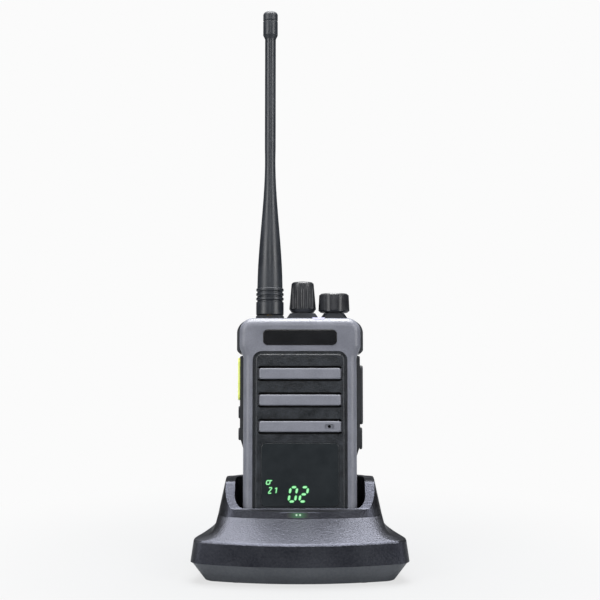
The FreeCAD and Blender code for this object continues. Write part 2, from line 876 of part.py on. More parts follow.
def make_antenna_stud():
    """Brass stud moulded into the whip, screwed down into the socket."""
    thread = rod(antenna_x, antenna_y, antenna_z - stud_length, stud_radius, stud_length - slide_gap)
    core_z = antenna_z - slide_gap
    core = rod(antenna_x, antenna_y, core_z, stud_radius - 0.8, antenna_z + stud_core_length - core_z)
    return union(thread, core)


def make_antenna_socket():
    """Brass bushing in the head's top wall."""
    radius = stud_radius + socket_wall
    low = antenna_z - stud_length - 1.5
    body = rod(antenna_x, antenna_y, low, radius, antenna_z - slide_gap - low)
    flange = rod(antenna_x, antenna_y, low, radius + 1.6, body_height - casing_wall - low)
    socket = union(body, flange)
    bore_z = antenna_z - stud_length - rest_gap
    return socket.cut(rod(antenna_x, antenna_y, bore_z, stud_radius + running_gap, 20))


# ---------------------------------------------------------------- radio: side controls
def strip_corners(length, side):
    """Side strip seen from the front: square top and a long taper at the foot."""
    inner = side * half_casing
    outer = inner + side * strip_thick
    low = strip_top - length
    return [(inner, strip_top, 0), (outer, strip_top - 0.6, 0.5),
            (outer, low + strip_taper, 3.0), (inner, low, 0)]


def ptt_rect(grow):
    half = ptt_width / 2 + grow
    return rect(strip_mid_y - half, strip_mid_y + half, ptt_low - grow, ptt_top + grow, 2.4)


def side_key_rect(level, grow):
    half = ptt_width / 2 - 0.4 + grow
    return rect(strip_mid_y - half, strip_mid_y + half, level - side_key_length - grow, level + grow, 2.0)


def make_left_strip():
    strip = front_slab(strip_corners(left_strip_length, -1), strip_y, strip_y + strip_depth)
    far = half_body + 10
    strip = strip.cut(side_slab(ptt_rect(slide_gap), -far, 0))
    for level in side_key_levels:
        strip = strip.cut(side_slab(side_key_rect(level, slide_gap), -far, 0))
    return strip


def side_button(corners, proud, travel, middle, stem_length):
    """Cap in the strip's window with a stem through the casing wall to its switch."""
    outer = -(cover_face_x + proud)
    inner = -(half_casing + travel + 0.1)
    cap = round_edges(side_slab(corners, outer, inner), 0.5, lies_at_x(outer))
    stem = box(inner - 0.1, switch_face_x - travel - 0.1, strip_mid_y - stem_depth / 2,
               strip_mid_y + stem_depth / 2, middle - stem_length / 2, middle + stem_length / 2)
    return union(cap, stem)


def make_ptt_button():
    return side_button(ptt_rect(0), ptt_proud, ptt_travel, ptt_low + ptt_length / 2, ptt_stem_length)


def make_side_key(level):
    return side_button(side_key_rect(level, 0), side_key_proud, side_key_travel,
                       level - side_key_length / 2, side_key_stem_length)


def make_jack_block():
    """Moulded block with two round noses that reach through the casing and the strip."""
    top = jack_levels[0] + jack_nose_radius + jack_nose_wall
    low = jack_levels[1] - jack_nose_radius - jack_nose_wall
    block = box(inner_casing - jack_block_length, inner_casing, strip_mid_y - jack_nose_radius,
                strip_mid_y + jack_nose_radius, low, top)
    nose_length = casing_wall + strip_thick - 0.8
    noses = [rod(inner_casing, strip_mid_y, z, jack_nose_radius, nose_length, Vector(1, 0, 0))
             for z in jack_levels]
    block = union(block, *noses)
    for z, radius in zip(jack_levels, (jack_large_radius, jack_small_radius)):
        block = block.cut(rod(cover_face_x, strip_mid_y, z, radius, jack_bore_depth, Vector(-1, 0, 0)))
    return block


def make_right_strip():
    strip = front_slab(strip_corners(right_strip_length, 1), strip_y, strip_y + strip_depth)
    hole = jack_nose_radius + running_gap
    for z in jack_levels:
        strip = strip.cut(rod(half_body, strip_mid_y, z, hole, 10, Vector(1, 0, 0)))
    return strip


def cover_corners(low, top):
    """Side outline shared by the flap over the jacks and its fixed foot."""
    half = strip_depth / 2 - jack_cover_margin
    return rect(strip_mid_y - half, strip_mid_y + half, low, top, 2.2)


def make_jack_cover():
    """Rubber flap over the accessory jacks."""
    flap = side_slab(cover_corners(cover_low, cover_top), cover_face_x + rest_gap / 2, cover_outer_x)
    return round_edges(flap, 0.8, lies_at_x(cover_outer_x))


def make_jack_anchor():
    """Fixed foot of the flap, pinned to the strip."""
    foot = side_slab(cover_corners(anchor_low, anchor_top), cover_face_x, anchor_outer_x)
    return round_edges(foot, 0.6, lies_at_x(anchor_outer_x))


# ---------------------------------------------------------------- radio: battery and clip
def latch_tongue(grow):
    """Tongue of the battery latch, in the slot under the head."""
    y0 = latch_y + 0.6
    half = latch_tongue_width / 2 + grow
    return box(-half, half, y0 - grow, y0 + latch_tongue_thick + grow,
               battery_top - 1.0, rear_head_low + 1.2 + grow)


def latch_recess():
    half = latch_width / 2 + slide_gap
    return box(-half, half, latch_y - slide_gap, y_back + 1,
               battery_top - latch_height - latch_travel - 2 * slide_gap, battery_top + 1)


def make_battery_latch():
    """Sliding catch that locks the battery under the head."""
    half = latch_width / 2
    z0 = battery_top - latch_height - slide_gap
    catch = box(-half, half, latch_y, y_back - 0.4, z0, battery_top - slide_gap)
    ridges = [box(-half + 2, half - 2, y_back - 0.5, y_back - 0.1, z0 + 0.8 + 1.2 * n, z0 + 1.3 + 1.2 * n)
              for n in range(3)]
    return union(catch, latch_tongue(0), *ridges)


def battery_corners(inset):
    half = battery_width / 2 - inset
    return rect(-half, half, battery_foot + inset, battery_top - inset, foot_corner - min(inset, 2.0))


def contact_pad(x, y0, y1):
    """Block as wide and tall as one charging contact."""
    half = contact_pad_width / 2
    tall = contact_pad_height / 2
    return box(x - half, x + half, y0, y1, contact_z - tall, contact_z + tall)


def make_battery_tray():
    """Outer half of the battery case."""
    y0 = y_battery + battery_lid_thick
    tray = front_slab(battery_corners(0), y0, y_back)
    tray = round_edges(tray, 2.0, lies_at_y(y_back))
    hollow_top = battery_top - latch_height - latch_travel - 2.5
    half = battery_width / 2 - battery_wall
    hollow = box(-half, half, y0 - 1, y_back - battery_wall, battery_foot + battery_wall, hollow_top)
    tray = tray.cut([hollow, latch_recess()])
    for x in (-contact_x, contact_x):
        tray = tray.cut(contact_pad(x, y_back - battery_wall - 1, y_back + 1))
    return tray


def make_battery_lid():
    """Inner half of the battery case, against the radio."""
    return front_slab(battery_corners(0), y_battery, y_battery + battery_lid_thick)


def make_battery_cells():
    """Two flat cells side by side."""
    y0 = y_battery + battery_lid_thick
    half = battery_width / 2 - battery_wall - 0.5
    top = battery_top - latch_height - latch_travel - 4.0
    cells = []
    low = contact_z + contact_pad_height
    for x0, x1 in ((-half, -cell_gap / 2), (cell_gap / 2, half)):
        cells.append(front_slab(rect(x0, x1, low, top, 2.0), y0, y0 + cell_depth))
    return Part.makeCompound(cells)


def make_charging_contacts():
    """Gold pads in the battery's back, low down where the charger touches them."""
    return Part.makeCompound([contact_pad(x, y_back - battery_wall - 0.6, y_back - 0.15)
                              for x in (-contact_x, contact_x)])


def make_battery_terminals():
    """Spring fingers between the radio and its battery, bridging the gap."""
    blades = []
    for x in (-6.0, 0.0, 6.0):
        blades.append(box(x - 1.0, x + 1.0, y_chassis_back, y_battery, 6.0, 12.0))
    return Part.makeCompound(blades)


def make_clip_bracket():
    """Plate on the back of the head with two round-ended ears for the clip's pin."""
    half = clip_ear_x - slide_gap
    plate_back = y_back + clip_bracket_thick
    plate = box(-half, half, y_back, plate_back, clip_pivot_z - 4.5, clip_pivot_z + 5.5)
    tip = clip_ear_radius
    side = [(y_back + 0.8, clip_pivot_z - 3.5, 0), (clip_pin_y + tip, clip_pivot_z - tip, tip - 0.02),
            (clip_pin_y + tip, clip_pivot_z + tip, tip - 0.02), (y_back + 0.8, clip_pivot_z + 3.5, 0)]
    ears = [side_slab(side, x0, x1) for x0, x1 in ((-half, -half + 2.4), (half - 2.4, half))]
    bore = rod(-clip_width, clip_pin_y, clip_pivot_z, clip_pin_radius + running_gap,
               2 * clip_width, Vector(1, 0, 0))
    return union(plate, *ears).cut(bore)


def make_clip_pin():
    half = clip_width / 2 - 0.4
    return rod(-half, clip_pin_y, clip_pivot_z, clip_pin_radius, 2 * half, Vector(1, 0, 0))


def make_belt_clip():
    """Sprung plate with a thumb tab above the pin and a hooked foot."""
    half = clip_width / 2
    top = clip_pivot_z + clip_thumb_height
    low = top - clip_length
    y0 = clip_front_y + slide_gap
    y1 = y0 + clip_thick
    side = [(y0, top, 0.8), (y0, low + 6.0, 3.0), (y_back + 1.2, low + 1.0, 0.8),
            (y_back + 1.8, low - 0.8, 0.8), (y1, low + 3.6, 3.0), (y1, top, 0.8)]
    tip = clip_ear_radius
    ear = [(clip_pin_y - tip, clip_pivot_z - tip, tip - 0.02), (y0 + 0.5, clip_pivot_z - 5.0, 0),
           (y0 + 0.5, clip_pivot_z + 5.0, 0), (clip_pin_y - tip, clip_pivot_z + tip, tip - 0.02)]
    ears = [side_slab(ear, x0, x1) for x0, x1 in ((-half, -clip_ear_x), (clip_ear_x, half))]
    clip = union(side_slab(side, -half, half), *ears)
    return clip.cut(make_clip_pin())


def make_clip_spring():
    """Torsion spring around the pin, drawn as its coil envelope."""
    half = clip_ear_x - slide_gap - 2.4 - 0.4
    coil = rod(-half, clip_pin_y, clip_pivot_z, clip_pin_radius + 0.7, 2 * half, Vector(1, 0, 0))
    bore = clip_pin_radius + 0.15
    return coil.cut(rod(-half - 1, clip_pin_y, clip_pivot_z, bore, 2 * half + 2, Vector(1, 0, 0)))


# ---------------------------------------------------------------- charger
def charger_section(z, half, front, back, front_corner, back_corner, fall):
    """Plan outline at one height: a long front arc, and sides that sweep in by the fall to the back."""
    radius = charger_arc_radius
    centre_y = front + radius
    corner_x = half - front_corner
    corner_y = centre_y - math.sqrt((radius - front_corner) ** 2 - corner_x ** 2)
    away = unit(Vector(corner_x, corner_y - centre_y, 0))
    touch = Vector(0, centre_y, 0) + away * radius
    turn = Vector(corner_x, corner_y, 0) + unit(away + Vector(1, 0, 0)) * front_corner
    rear = half - fall
    side_length = back - back_corner - corner_y
    side = [Vector(half - fall * drop, corner_y + side_length * way, 0) for way, drop in side_sweep]
    side = [Vector(half, corner_y, 0)] + side + [Vector(rear, back - back_corner, 0)]
    soft = back_corner * (1 - math.sqrt(0.5))
    ends = [Vector(rear - soft, back - soft, 0), Vector(rear - back_corner, back, 0)]
    rise = Vector(0, 0, z)

    def half_edges(flip):
        place = [Vector(flip * point.x, point.y, 0) + rise for point in [touch, turn] + side + ends]
        sweep = Part.BSplineCurve()
        sweep.interpolate(Points=place[2:7], InitialTangent=Vector(-flip * 0.02 * fall, 1, 0),
                          FinalTangent=Vector(0, 1, 0))
        return [Part.Arc(place[0], place[1], place[2]).toShape(), sweep.toShape(),
                Part.Arc(place[6], place[7], place[8]).toShape()], place[0], place[8]

    right, right_touch, right_end = half_edges(1)
    left, left_touch, left_end = half_edges(-1)
    nose = Part.Arc(left_touch, Vector(0, front, z), right_touch).toShape()
    tail = Part.LineSegment(right_end, left_end).toShape()
    return Part.Wire([nose] + right + [tail] + left[::-1])


def charger_loft(sections):
    """Ruled solid through plan outlines at rising heights."""
    return Part.makeLoft([charger_section(*section) for section in sections], True, True)


def tower_section(rise):
    """Plan outline at a height above the deck: a skirt that dies away under straight tapered walls."""
    skirt = math.exp(-rise / flare_fall)
    half = shoulder_half - (shoulder_half - ear_half) * rise / ear_rise
    half += side_fall * skirt
    front = charger_front + edge_bevel + (rim_front - charger_front - edge_bevel) * rise / rim_rise
    front = min(front, rim_front + (rise - rim_rise) * 0.5) if rise > rim_rise else front
    stepped = back_step * (1 - math.exp(-rise / (2.5 * flare_fall)))
    back = charger_back - edge_bevel - stepped - back_batter * rise
    front_corner = charger_front_corner + 3.5 * min(rise / rim_rise, 1.0)
    back_corner = charger_back_corner - 3.0 * rise / ear_rise
    return (deck_z + rise, half, front, back, front_corner, back_corner, side_fall * skirt)


def tower_rises():
    """Heights above the deck at which the flared body is drawn, close together in the skirt."""
    in_skirt = [flare_fall * step for step in (0.0, 0.3, 0.7, 1.2, 1.9, 2.9, 4.5)]
    return in_skirt + [rim_rise, (rim_rise + ear_rise) / 2, ear_rise + 2.0]


def top_cut():
    """Everything above the rim line: low at the front, up over the ears, down a little at the back."""
    inner_y = rim_front + 5.0
    corners = [(rim_front - 40, rim_z - 0.1, 0), (rim_front - 0.05, rim_z - 0.1, 0),
               (rim_front + 1.6, rim_lip_z - 0.6, 1.0), (inner_y + 0.4, rim_lip_z, 3.0),
               (ear_y - 2.6, ear_z, 4.0), (ear_y + 6.0, ear_z, 8.0),
               (charger_back - 6.0, rear_wall_z, 0), (charger_back + 30, rear_wall_z, 0),
               (charger_back + 30, ear_z + 60, 0), (rim_front - 40, ear_z + 60, 0)]
    return side_slab(corners, -charger_half_band - 10, charger_half_band + 10)


def lean(shape):
    """Put a shape from the radio's own frame into its leaning place."""
    placed = shape.copy()
    placed.Placement = LEAN.multiply(placed.Placement)
    return placed


def pocket_slab(grow, z0, z1):
    half = pocket_half + grow
    corners = rect(-half, half, pocket_front - grow, pocket_back + grow, pocket_corner + grow)
    return plan_slab(corners, z0, z1)


def charger_outer():
    """Closed outer form of the upper shell, before it is hollowed."""
    corners = (charger_front_corner, charger_back_corner, side_fall)
    band_top_half = charger_half_top + edge_bevel / 2
    band = [(parting_z, charger_half_band, charger_front - band_batter, charger_back) + corners,
            (deck_z - edge_bevel, band_top_half, charger_front, charger_back) + corners]
    tower = [tower_section(rise) for rise in tower_rises()]
    return charger_loft(band + tower).cut(top_cut())


def light_pipe_block(outer):
    """Clear pipe from the indicator LED up to a window in the front face of the rim."""
    x0 = light_pipe_x - light_pipe_half
    x1 = light_pipe_x + light_pipe_half
    low = rim_z + 0.5
    high = rim_lip_z - 0.9
    back = rim_front + 3.1
    window = box(x0, x1, rim_front - 3, back, low, high)
    stalk = side_slab([(led_y - 1.0, led_top, 0), (led_y + 1.0, led_top, 0), (back, low, 0),
                       (back, low + 0.5, 0), (rim_front + 1.2, low + 0.5, 0)],
                      light_pipe_x - led_size / 2, light_pipe_x + led_size / 2)
    return union(window, stalk).common(outer.fuse(box(-60, 60, -60, 60, 0, parting_z + 5)))


def boss_places():
    """Where the four screws stand: wide apart in front, and behind the pocket at the back."""
    return [(-boss_x, boss_front_y), (boss_x, boss_front_y),
            (-rear_boss_x, boss_back_y), (rear_boss_x, boss_back_y)]


def make_charger_upper_shell(outer):
    """Upper shell: textured band, ramp, rim and ears around the leaning pocket."""
    wall = charger_wall
    corners = (charger_front_corner - 1.5, charger_back_corner - 2.0, side_fall)
    front = charger_front + wall
    back = charger_back - wall
    low = (parting_z - 1, charger_half_band - wall, front - band_batter, back)
    high = (deck_z - wall, charger_half_top - wall, front + band_batter, back)
    band_hollow = charger_loft([low + corners, high + corners])
    tower_half = ear_half + 0.6
    tower_hollow = plan_slab(rect(-tower_half, tower_half, rim_front - 1.5, tower_back_inner, 7.0),
                             board_z - 1.0, tower_top_z)
    shell = outer.cut([band_hollow, tower_hollow])
    tub = lean(pocket_slab(pocket_wall, -pocket_floor_gap - pocket_wall, body_height)).common(
        outer.fuse(plan_slab(rect(-44, 44, charger_front + 8, charger_back - 4, 4.0), 2.0, parting_z + 1)))
    shell = union(shell, tub)
    shell = shell.cut(lean(pocket_slab(0, -pocket_floor_gap, body_height)))
    guides = []
    guide_inner = half_body + 0.5
    for side in (-1, 1):
        for y in (y_front + 4, y_back - 7):
            x0, x1 = sorted((side * guide_inner, side * (pocket_half + 0.5)))
            guides.append(lean(box(x0, x1, y, y + guide_thick, -pocket_floor_gap - 0.5, guide_height)))
    shell = union(shell, *guides)
    bosses = [rod(x, y, board_top_z, boss_radius, tower_top_z - board_top_z + 0.5).common(outer)
              for x, y in boss_places()]
    shell = union(shell, *bosses)
    cuts = [rod(x, y, board_top_z - 1, screw_radius, screw_bite + 2.0) for x, y in boss_places()]
    inlet_hole = inlet_nose_radius + running_gap
    cuts.append(rod(inlet_x, charger_back - 10, inlet_z, inlet_hole, 20, Vector(0, 1, 0)))
    for x in (-contact_x, contact_x):
        cuts.append(lean(rod(x, pocket_back - 1, contact_z, contact_pin_radius + 0.15,
                             pocket_wall + 2, Vector(0, 1, 0))))
    return shell.cut(cuts)


def make_charger_base_tray():
    """Lower base: a tapered tray that carries the board."""
    foot = foot_pad_height
    top_half = charger_half_band - tray_seam
    top_front = charger_front - band_batter + tray_seam
    top_back = charger_back - tray_seam
    foot_front = charger_front + foot_front_inset
    front_corner = charger_front_corner
    back_corner = charger_back_corner
    outer = charger_loft([(foot, charger_half_foot, foot_front, foot_back, front_corner, back_corner - 1.0,
                           side_fall),
                          (parting_z, top_half, top_front, top_back, front_corner, back_corner, side_fall)])
    wall = charger_wall
    floor_wall = wall - 0.6
    corners = (front_corner - 1.0, back_corner - 2.0, side_fall)
    floor_z = foot + tray_floor
    inner = charger_loft([(floor_z, charger_half_foot - floor_wall, foot_front + floor_wall,
                           foot_back - floor_wall) + corners,
                          (parting_z + 1, top_half - wall, top_front + wall, top_back - wall) + corners])
    tray = outer.cut(inner)
    posts = [rod(x, y, floor_z - 0.5, boss_radius, board_top_z - floor_z + 0.5) for x, y in boss_places()]
    pegs = [rod(x, y, floor_z - 0.5, peg_radius, board_z - floor_z + 0.5) for x, y in peg_places()]
    tray = union(tray, *(posts + pegs))
    cuts = []
    head_room = foot + screw_head_recess + screw_head_height
    for x, y in boss_places():
        cuts.append(rod(x, y, 0, screw_radius + 0.15, 20))
        cuts.append(rod(x, y, 0, screw_head_radius + rest_gap, head_room))
    for x, y in pad_places():
        cuts.append(rod(x, y, 0, foot_pad_radius, foot + pad_recess))
    return tray.cut(cuts)


def peg_places():
    """Where the pegs under the board's edges stand."""
    front_x = board_half - peg_inset
    rear_x = board_rear_half - rear_peg_inset
    return [(-front_x, peg_front_y), (front_x, peg_front_y), (-rear_x, peg_rear_y), (rear_x, peg_rear_y)]


def pad_places():
    """Where the rubber feet sit, inward of the screws."""
    front_x = boss_x - pad_shift
    rear_x = rear_boss_x - pad_shift
    rear_y = foot_back - foot_pad_radius - pad_margin
    return [(-front_x, boss_front_y), (front_x, boss_front_y), (-rear_x, rear_y), (rear_x, rear_y)]


def make_charger_feet():
    height = foot_pad_height + pad_recess
    return Part.makeCompound([rod(x, y, 0, foot_pad_radius, height) for x, y in pad_places()])


def make_charger_screws():
    screws = []
    head_z = foot_pad_height + screw_head_recess
    shank_z = head_z + screw_head_height
    for x, y in boss_places():
        head = rod(x, y, head_z, screw_head_radius, screw_head_height)
        shank = rod(x, y, shank_z, screw_radius, board_top_z + screw_bite - shank_z)
        screws.append(union(head, shank))
    return Part.makeCompound(screws)


def make_charger_board():
    """Circuit board with a window around the pocket."""
    front_y = charger_front + 9.5
    back_y = tower_back_inner - 1.0
    clear = boss_radius + board_relief
    front_half = boss_x - clear
    rear_half = rear_boss_x - clear
    z1 = board_top_z
    shoulders = box(-board_half, board_half, boss_front_y + clear, board_waist_y, board_z, z1)
    sides = box(-board_rear_half, board_rear_half, board_waist_y - 1, boss_back_y - clear, board_z, z1)
    front = box(-front_half, front_half, front_y, board_waist_y, board_z, z1)
    rear = box(-rear_half, rear_half, 0, back_y, board_z, z1)
    board = union(shoulders, sides, front, rear)
    tub = lean(pocket_slab(pocket_wall + board_relief, -20, 60))
    return board.cut(tub)


def make_charger_led():
    half = led_size / 2
    return box(light_pipe_x - half, light_pipe_x + half, led_y - 1.2, led_y + 1.2, board_top_z, led_top)


def make_charger_inlet():
    """Power inlet: block on the board with a round nose through the back wall."""
    face = charger_back - 0.5
    body_back = tower_back_inner - slide_gap
    z = inlet_z
    half = inlet_body_width / 2
    body = box(inlet_x - half, inlet_x + half, body_back - inlet_body_depth, body_back,
               board_top_z, z + inlet_nose_radius - 0.1)
    nose = rod(inlet_x, body_back, z, inlet_nose_radius, face - body_back, Vector(0, 1, 0))
    inlet = union(body, nose)
    inlet = inlet.cut(rod(inlet_x, face, z, inlet_radius, inlet_bore_depth, Vector(0, -1, 0)))
    pin_y = face - inlet_bore_depth - 0.4
    return union(inlet, rod(inlet_x, pin_y, z, inlet_pin_radius, inlet_bore_depth - 0.6, Vector(0, 1, 0)))


def make_contact_carrier():
    """Insulating block behind the pocket that guides the two spring contacts."""
    y0 = pocket_back + pocket_wall
    half = contact_x + carrier_margin
    carrier = box(-half, half, y0, y0 + carrier_depth, -4, contact_z + carrier_margin)
    back = Vector(0, 1, 0)
    for x in (-contact_x, contact_x):
        carrier = carrier.cut(rod(x, y0 - 1, contact_z, contact_pin_radius + running_gap, 4, back))
        carrier = carrier.cut(rod(x, y0 + 1.4, contact_z, contact_pin_radius + 0.8,
                                  spring_back_y - y0 - 1.4, back))
    return lean(carrier).cut(box(-60, 60, -60, 60, -20, board_top_z))


def make_contact_pin(x):
    """Sprung charging contact with a domed nose and a retaining flange."""
    nose_y = y_back + rest_gap
    dome = Part.makeSphere(contact_pin_radius, Vector(x, nose_y + contact_pin_radius, contact_z))
    shaft = rod(x, nose_y + contact_pin_radius, contact_z, contact_pin_radius,
                contact_flange_y + contact_flange_thick - nose_y - contact_pin_radius, Vector(0, 1, 0))
    flange = rod(x, contact_flange_y, contact_z, contact_pin_radius + contact_flange_wall,
                 contact_flange_thick, Vector(0, 1, 0))
    return lean(union(dome, shaft, flange))


def make_contact_spring(x):
    """Compression spring behind the pin, drawn as its coil envelope."""
    y0 = contact_flange_y + contact_flange_thick
    length = spring_back_y - y0
    tube = rod(x, y0, contact_z, contact_pin_radius + 0.6, length, Vector(0, 1, 0))
    tube = tube.cut(rod(x, y0 - 1, contact_z, contact_pin_radius + 0.1, length + 2, Vector(0, 1, 0)))
    return lean(tube)


# ---------------------------------------------------------------- the parts
def radio_parts():
    """Every radio node in the radio's own upright frame."""
    parts = {
        "front_shell": make_front_shell(),
        "badge_plate": make_badge_plate(),
        "top_light_pipe": make_top_light_pipe(),
        "body_seal": make_body_seal(),
        "rear_housing": make_rear_housing(),
        "rear_screws": make_rear_screws(),
        "speaker_panel": make_speaker_panel(),
        "grille_felt": make_grille_felt(),
        "speaker_frame": make_speaker_frame(),
        "speaker_cone": make_speaker_cone(),
        "microphone": make_microphone(),
        "display_window": make_display_window(),
        "display_module": make_display_module(),
        "main_board": make_main_board(),
        "rf_shield": make_rf_shield(),
        "channel_switch": control_body(channel_x, channel_switch_size),
        "channel_shaft": control_shaft(channel_x, channel_knob_height),
        "channel_knob": make_channel_knob(),
        "volume_control": control_body(volume_x, volume_control_size),
        "volume_shaft": control_shaft(volume_x, volume_knob_height),
        "volume_knob": make_volume_knob(),
        "antenna_whip": make_antenna_whip(),
        "antenna_stud": make_antenna_stud(),
        "antenna_socket": make_antenna_socket(),
        "side_switches": make_side_switches(),
        "left_strip": make_left_strip(),
        "ptt_button": make_ptt_button(),
        "side_key_upper": make_side_key(side_key_levels[0]),
        "side_key_lower": make_side_key(side_key_levels[1]),
        "right_strip": make_right_strip(),
        "jack_block": make_jack_block(),
        "jack_cover": make_jack_cover(),
        "jack_cover_anchor": make_jack_anchor(),
        "battery_tray": make_battery_tray(),
        "battery_lid": make_battery_lid(),
        "battery_cells": make_battery_cells(),
        "battery_terminals": make_battery_terminals(),
        "charging_contacts": make_charging_contacts(),
        "battery_latch": make_battery_latch(),
        "clip_bracket": make_clip_bracket(),
        "clip_pin": make_clip_pin(),
        "clip_spring": make_clip_spring(),
        "belt_clip": make_belt_clip(),
    }
    names = ("grille_bar_upper", "grille_bar_middle", "grille_bar_lower")
    for n, (name, level) in enumerate(zip(names, bar_levels)):
        parts[name] = make_grille_bar(level, n == bar_count - 1)
    return parts


def charger_parts():
    """Every charger node in the world frame."""
    outer = charger_outer()
    pipe = light_pipe_block(outer)
    return {
        "charger_upper_shell": make_charger_upper_shell(outer).cut(pipe),
        "charger_base_tray": make_charger_base_tray(),
        "charger_feet": make_charger_feet(),
        "charger_screws": make_charger_screws(),
        "charger_board": make_charger_board(),
        "charger_led": make_charger_led(),
        "charger_light_pipe": pipe,
        "charger_inlet": make_charger_inlet(),
        "contact_carrier": make_contact_carrier(),
        "contact_pin_left": make_contact_pin(-contact_x),
        "contact_pin_right": make_contact_pin(contact_x),
        "contact_spring_left": make_contact_spring(-contact_x),
        "contact_spring_right": make_contact_spring(contact_x),
    }


os.makedirs("parts", exist_ok=True)
all_parts = charger_parts()
for name, shape in radio_parts().items():
    all_parts[name] = lean(shape)
for name, shape in all_parts.items():
    shape.exportStep("parts/" + name + ".step")
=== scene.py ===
import json
import math

import bmesh
import bpy
import numpy as np
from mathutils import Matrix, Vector

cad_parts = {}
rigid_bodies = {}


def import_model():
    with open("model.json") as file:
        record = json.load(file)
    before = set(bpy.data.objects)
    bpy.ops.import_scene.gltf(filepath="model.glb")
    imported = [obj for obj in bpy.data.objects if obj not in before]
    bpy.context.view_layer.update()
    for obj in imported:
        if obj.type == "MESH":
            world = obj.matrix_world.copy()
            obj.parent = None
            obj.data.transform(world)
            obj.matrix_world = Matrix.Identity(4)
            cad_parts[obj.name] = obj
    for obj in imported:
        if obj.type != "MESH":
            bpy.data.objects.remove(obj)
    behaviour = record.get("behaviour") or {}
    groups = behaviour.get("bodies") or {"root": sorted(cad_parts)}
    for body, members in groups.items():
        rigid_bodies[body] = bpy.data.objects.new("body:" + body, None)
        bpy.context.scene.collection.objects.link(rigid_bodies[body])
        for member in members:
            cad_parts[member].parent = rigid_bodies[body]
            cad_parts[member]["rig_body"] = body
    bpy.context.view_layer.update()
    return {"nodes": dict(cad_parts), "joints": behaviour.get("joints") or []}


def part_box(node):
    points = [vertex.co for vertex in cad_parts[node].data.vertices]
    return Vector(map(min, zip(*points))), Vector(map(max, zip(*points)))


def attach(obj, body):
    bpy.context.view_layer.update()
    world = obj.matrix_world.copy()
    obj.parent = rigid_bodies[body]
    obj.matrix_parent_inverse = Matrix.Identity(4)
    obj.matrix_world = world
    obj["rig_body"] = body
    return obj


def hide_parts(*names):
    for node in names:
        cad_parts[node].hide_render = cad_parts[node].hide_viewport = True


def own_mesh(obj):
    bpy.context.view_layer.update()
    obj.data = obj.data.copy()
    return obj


# A handheld two way radio that stands in its desktop charger, dressed piece by piece from the
# charger up. Metres, +Z up, the front faces -Y.

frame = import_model()


# ---------------------------------------------------------------- charger base tray
# The lower half of the charger is a smooth injection-moulded ABS tray that tapers in to the table.
# It is screwed up into the upper shell, and its polished mould gives it a soft even shine.
MM = 0.001


def colour(hex_code):
    """The linear colour that a shader socket takes, from an sRGB hex code."""
    shares = [int(hex_code[n:n + 2], 16) / 255 for n in (1, 3, 5)]
    return [s / 12.92 if s <= 0.04045 else ((s + 0.055) / 1.055) ** 2.4 for s in shares] + [1.0]


def add(tree, kind, inputs, **settings):
    """Adds one node. An input takes a number, a colour, or another node's output."""
    new = tree.nodes.new(kind)
    for name, value in settings.items():
        setattr(new, name, value)
    for name, value in inputs.items():
        if isinstance(value, bpy.types.NodeSocket):
            tree.links.new(value, new.inputs[name])
        else:
            new.inputs[name].default_value = value
    return new


def empty_material(name):
    """A material with only its output node, and the Object coordinates that its patterns read."""
    material = bpy.data.materials.new(name)
    material.use_nodes = True
    tree = material.node_tree
    tree.nodes.clear()
    output = add(tree, "ShaderNodeOutputMaterial", {})
    return material, tree, output, add(tree, "ShaderNodeTexCoord", {}).outputs["Object"]


def moulded(name, hex_low, hex_high, roughness, pebble, depth, patch=9 * MM, gloss_spread=0.08,
            hex_painted_gloss_tint="#ffffff"):
    """Moulded plastic or rubber. A spark-eroded mould prints a pebble of the given size and depth;
    hands and cleaning leave broad patches a little darker and glossier than the rest, and the gloss
    may take a painted tint that stands in for the colour of the light it reflects. A real pebble is
    about 0.15 mm across, and is drawn coarser so that it shows."""
    material, tree, output, place = empty_material(name)
    grain = add(tree, "ShaderNodeTexNoise", {"Vector": place, "Scale": 1 / pebble, "Detail": 2.0,
                                             "Roughness": 0.6})
    broad = add(tree, "ShaderNodeTexNoise", {"Vector": place, "Scale": 1 / patch, "Detail": 3.0,
                                             "Roughness": 0.5})
    blend = add(tree, "ShaderNodeMath", {0: grain.outputs["Fac"], 1: broad.outputs["Fac"]},
                operation="ADD")
    share = add(tree, "ShaderNodeMapRange", {"Value": blend.outputs[0], "From Min": 0.7,
                                             "From Max": 1.3})
    tint = add(tree, "ShaderNodeMix", {0: share.outputs[0], 6: colour(hex_low), 7: colour(hex_high)},
               data_type="RGBA")
    gloss = add(tree, "ShaderNodeMapRange", {"Value": broad.outputs["Fac"], "From Min": 0.3,
                                             "From Max": 0.7, "To Min": roughness - gloss_spread,
                                             "To Max": roughness + gloss_spread})
    bump = add(tree, "ShaderNodeBump", {"Height": grain.outputs["Fac"], "Strength": 1.0,
                                        "Distance": depth})
    shader = add(tree, "ShaderNodeBsdfPrincipled", {
        "Base Color": tint.outputs[2], "Roughness": gloss.outputs[0],
        "Specular Tint": colour(hex_painted_gloss_tint), "Normal": bump.outputs[0]})
    tree.links.new(shader.outputs[0], output.inputs["Surface"])
    return material


def paint(material, *names):
    """Gives a material to every slot of the named CAD nodes."""
    for name in names:
        for slot in frame["nodes"][name].material_slots:
            slot.material = material


# A polished mould leaves almost no grain, so the tray shows broad soft gradients.
base_abs = moulded("smooth_moulded_abs", "#484b50", "#56595e", 0.42, 1.2 * MM, 0.004 * MM,
                   patch=25 * MM)
paint(base_abs, "charger_base_tray")


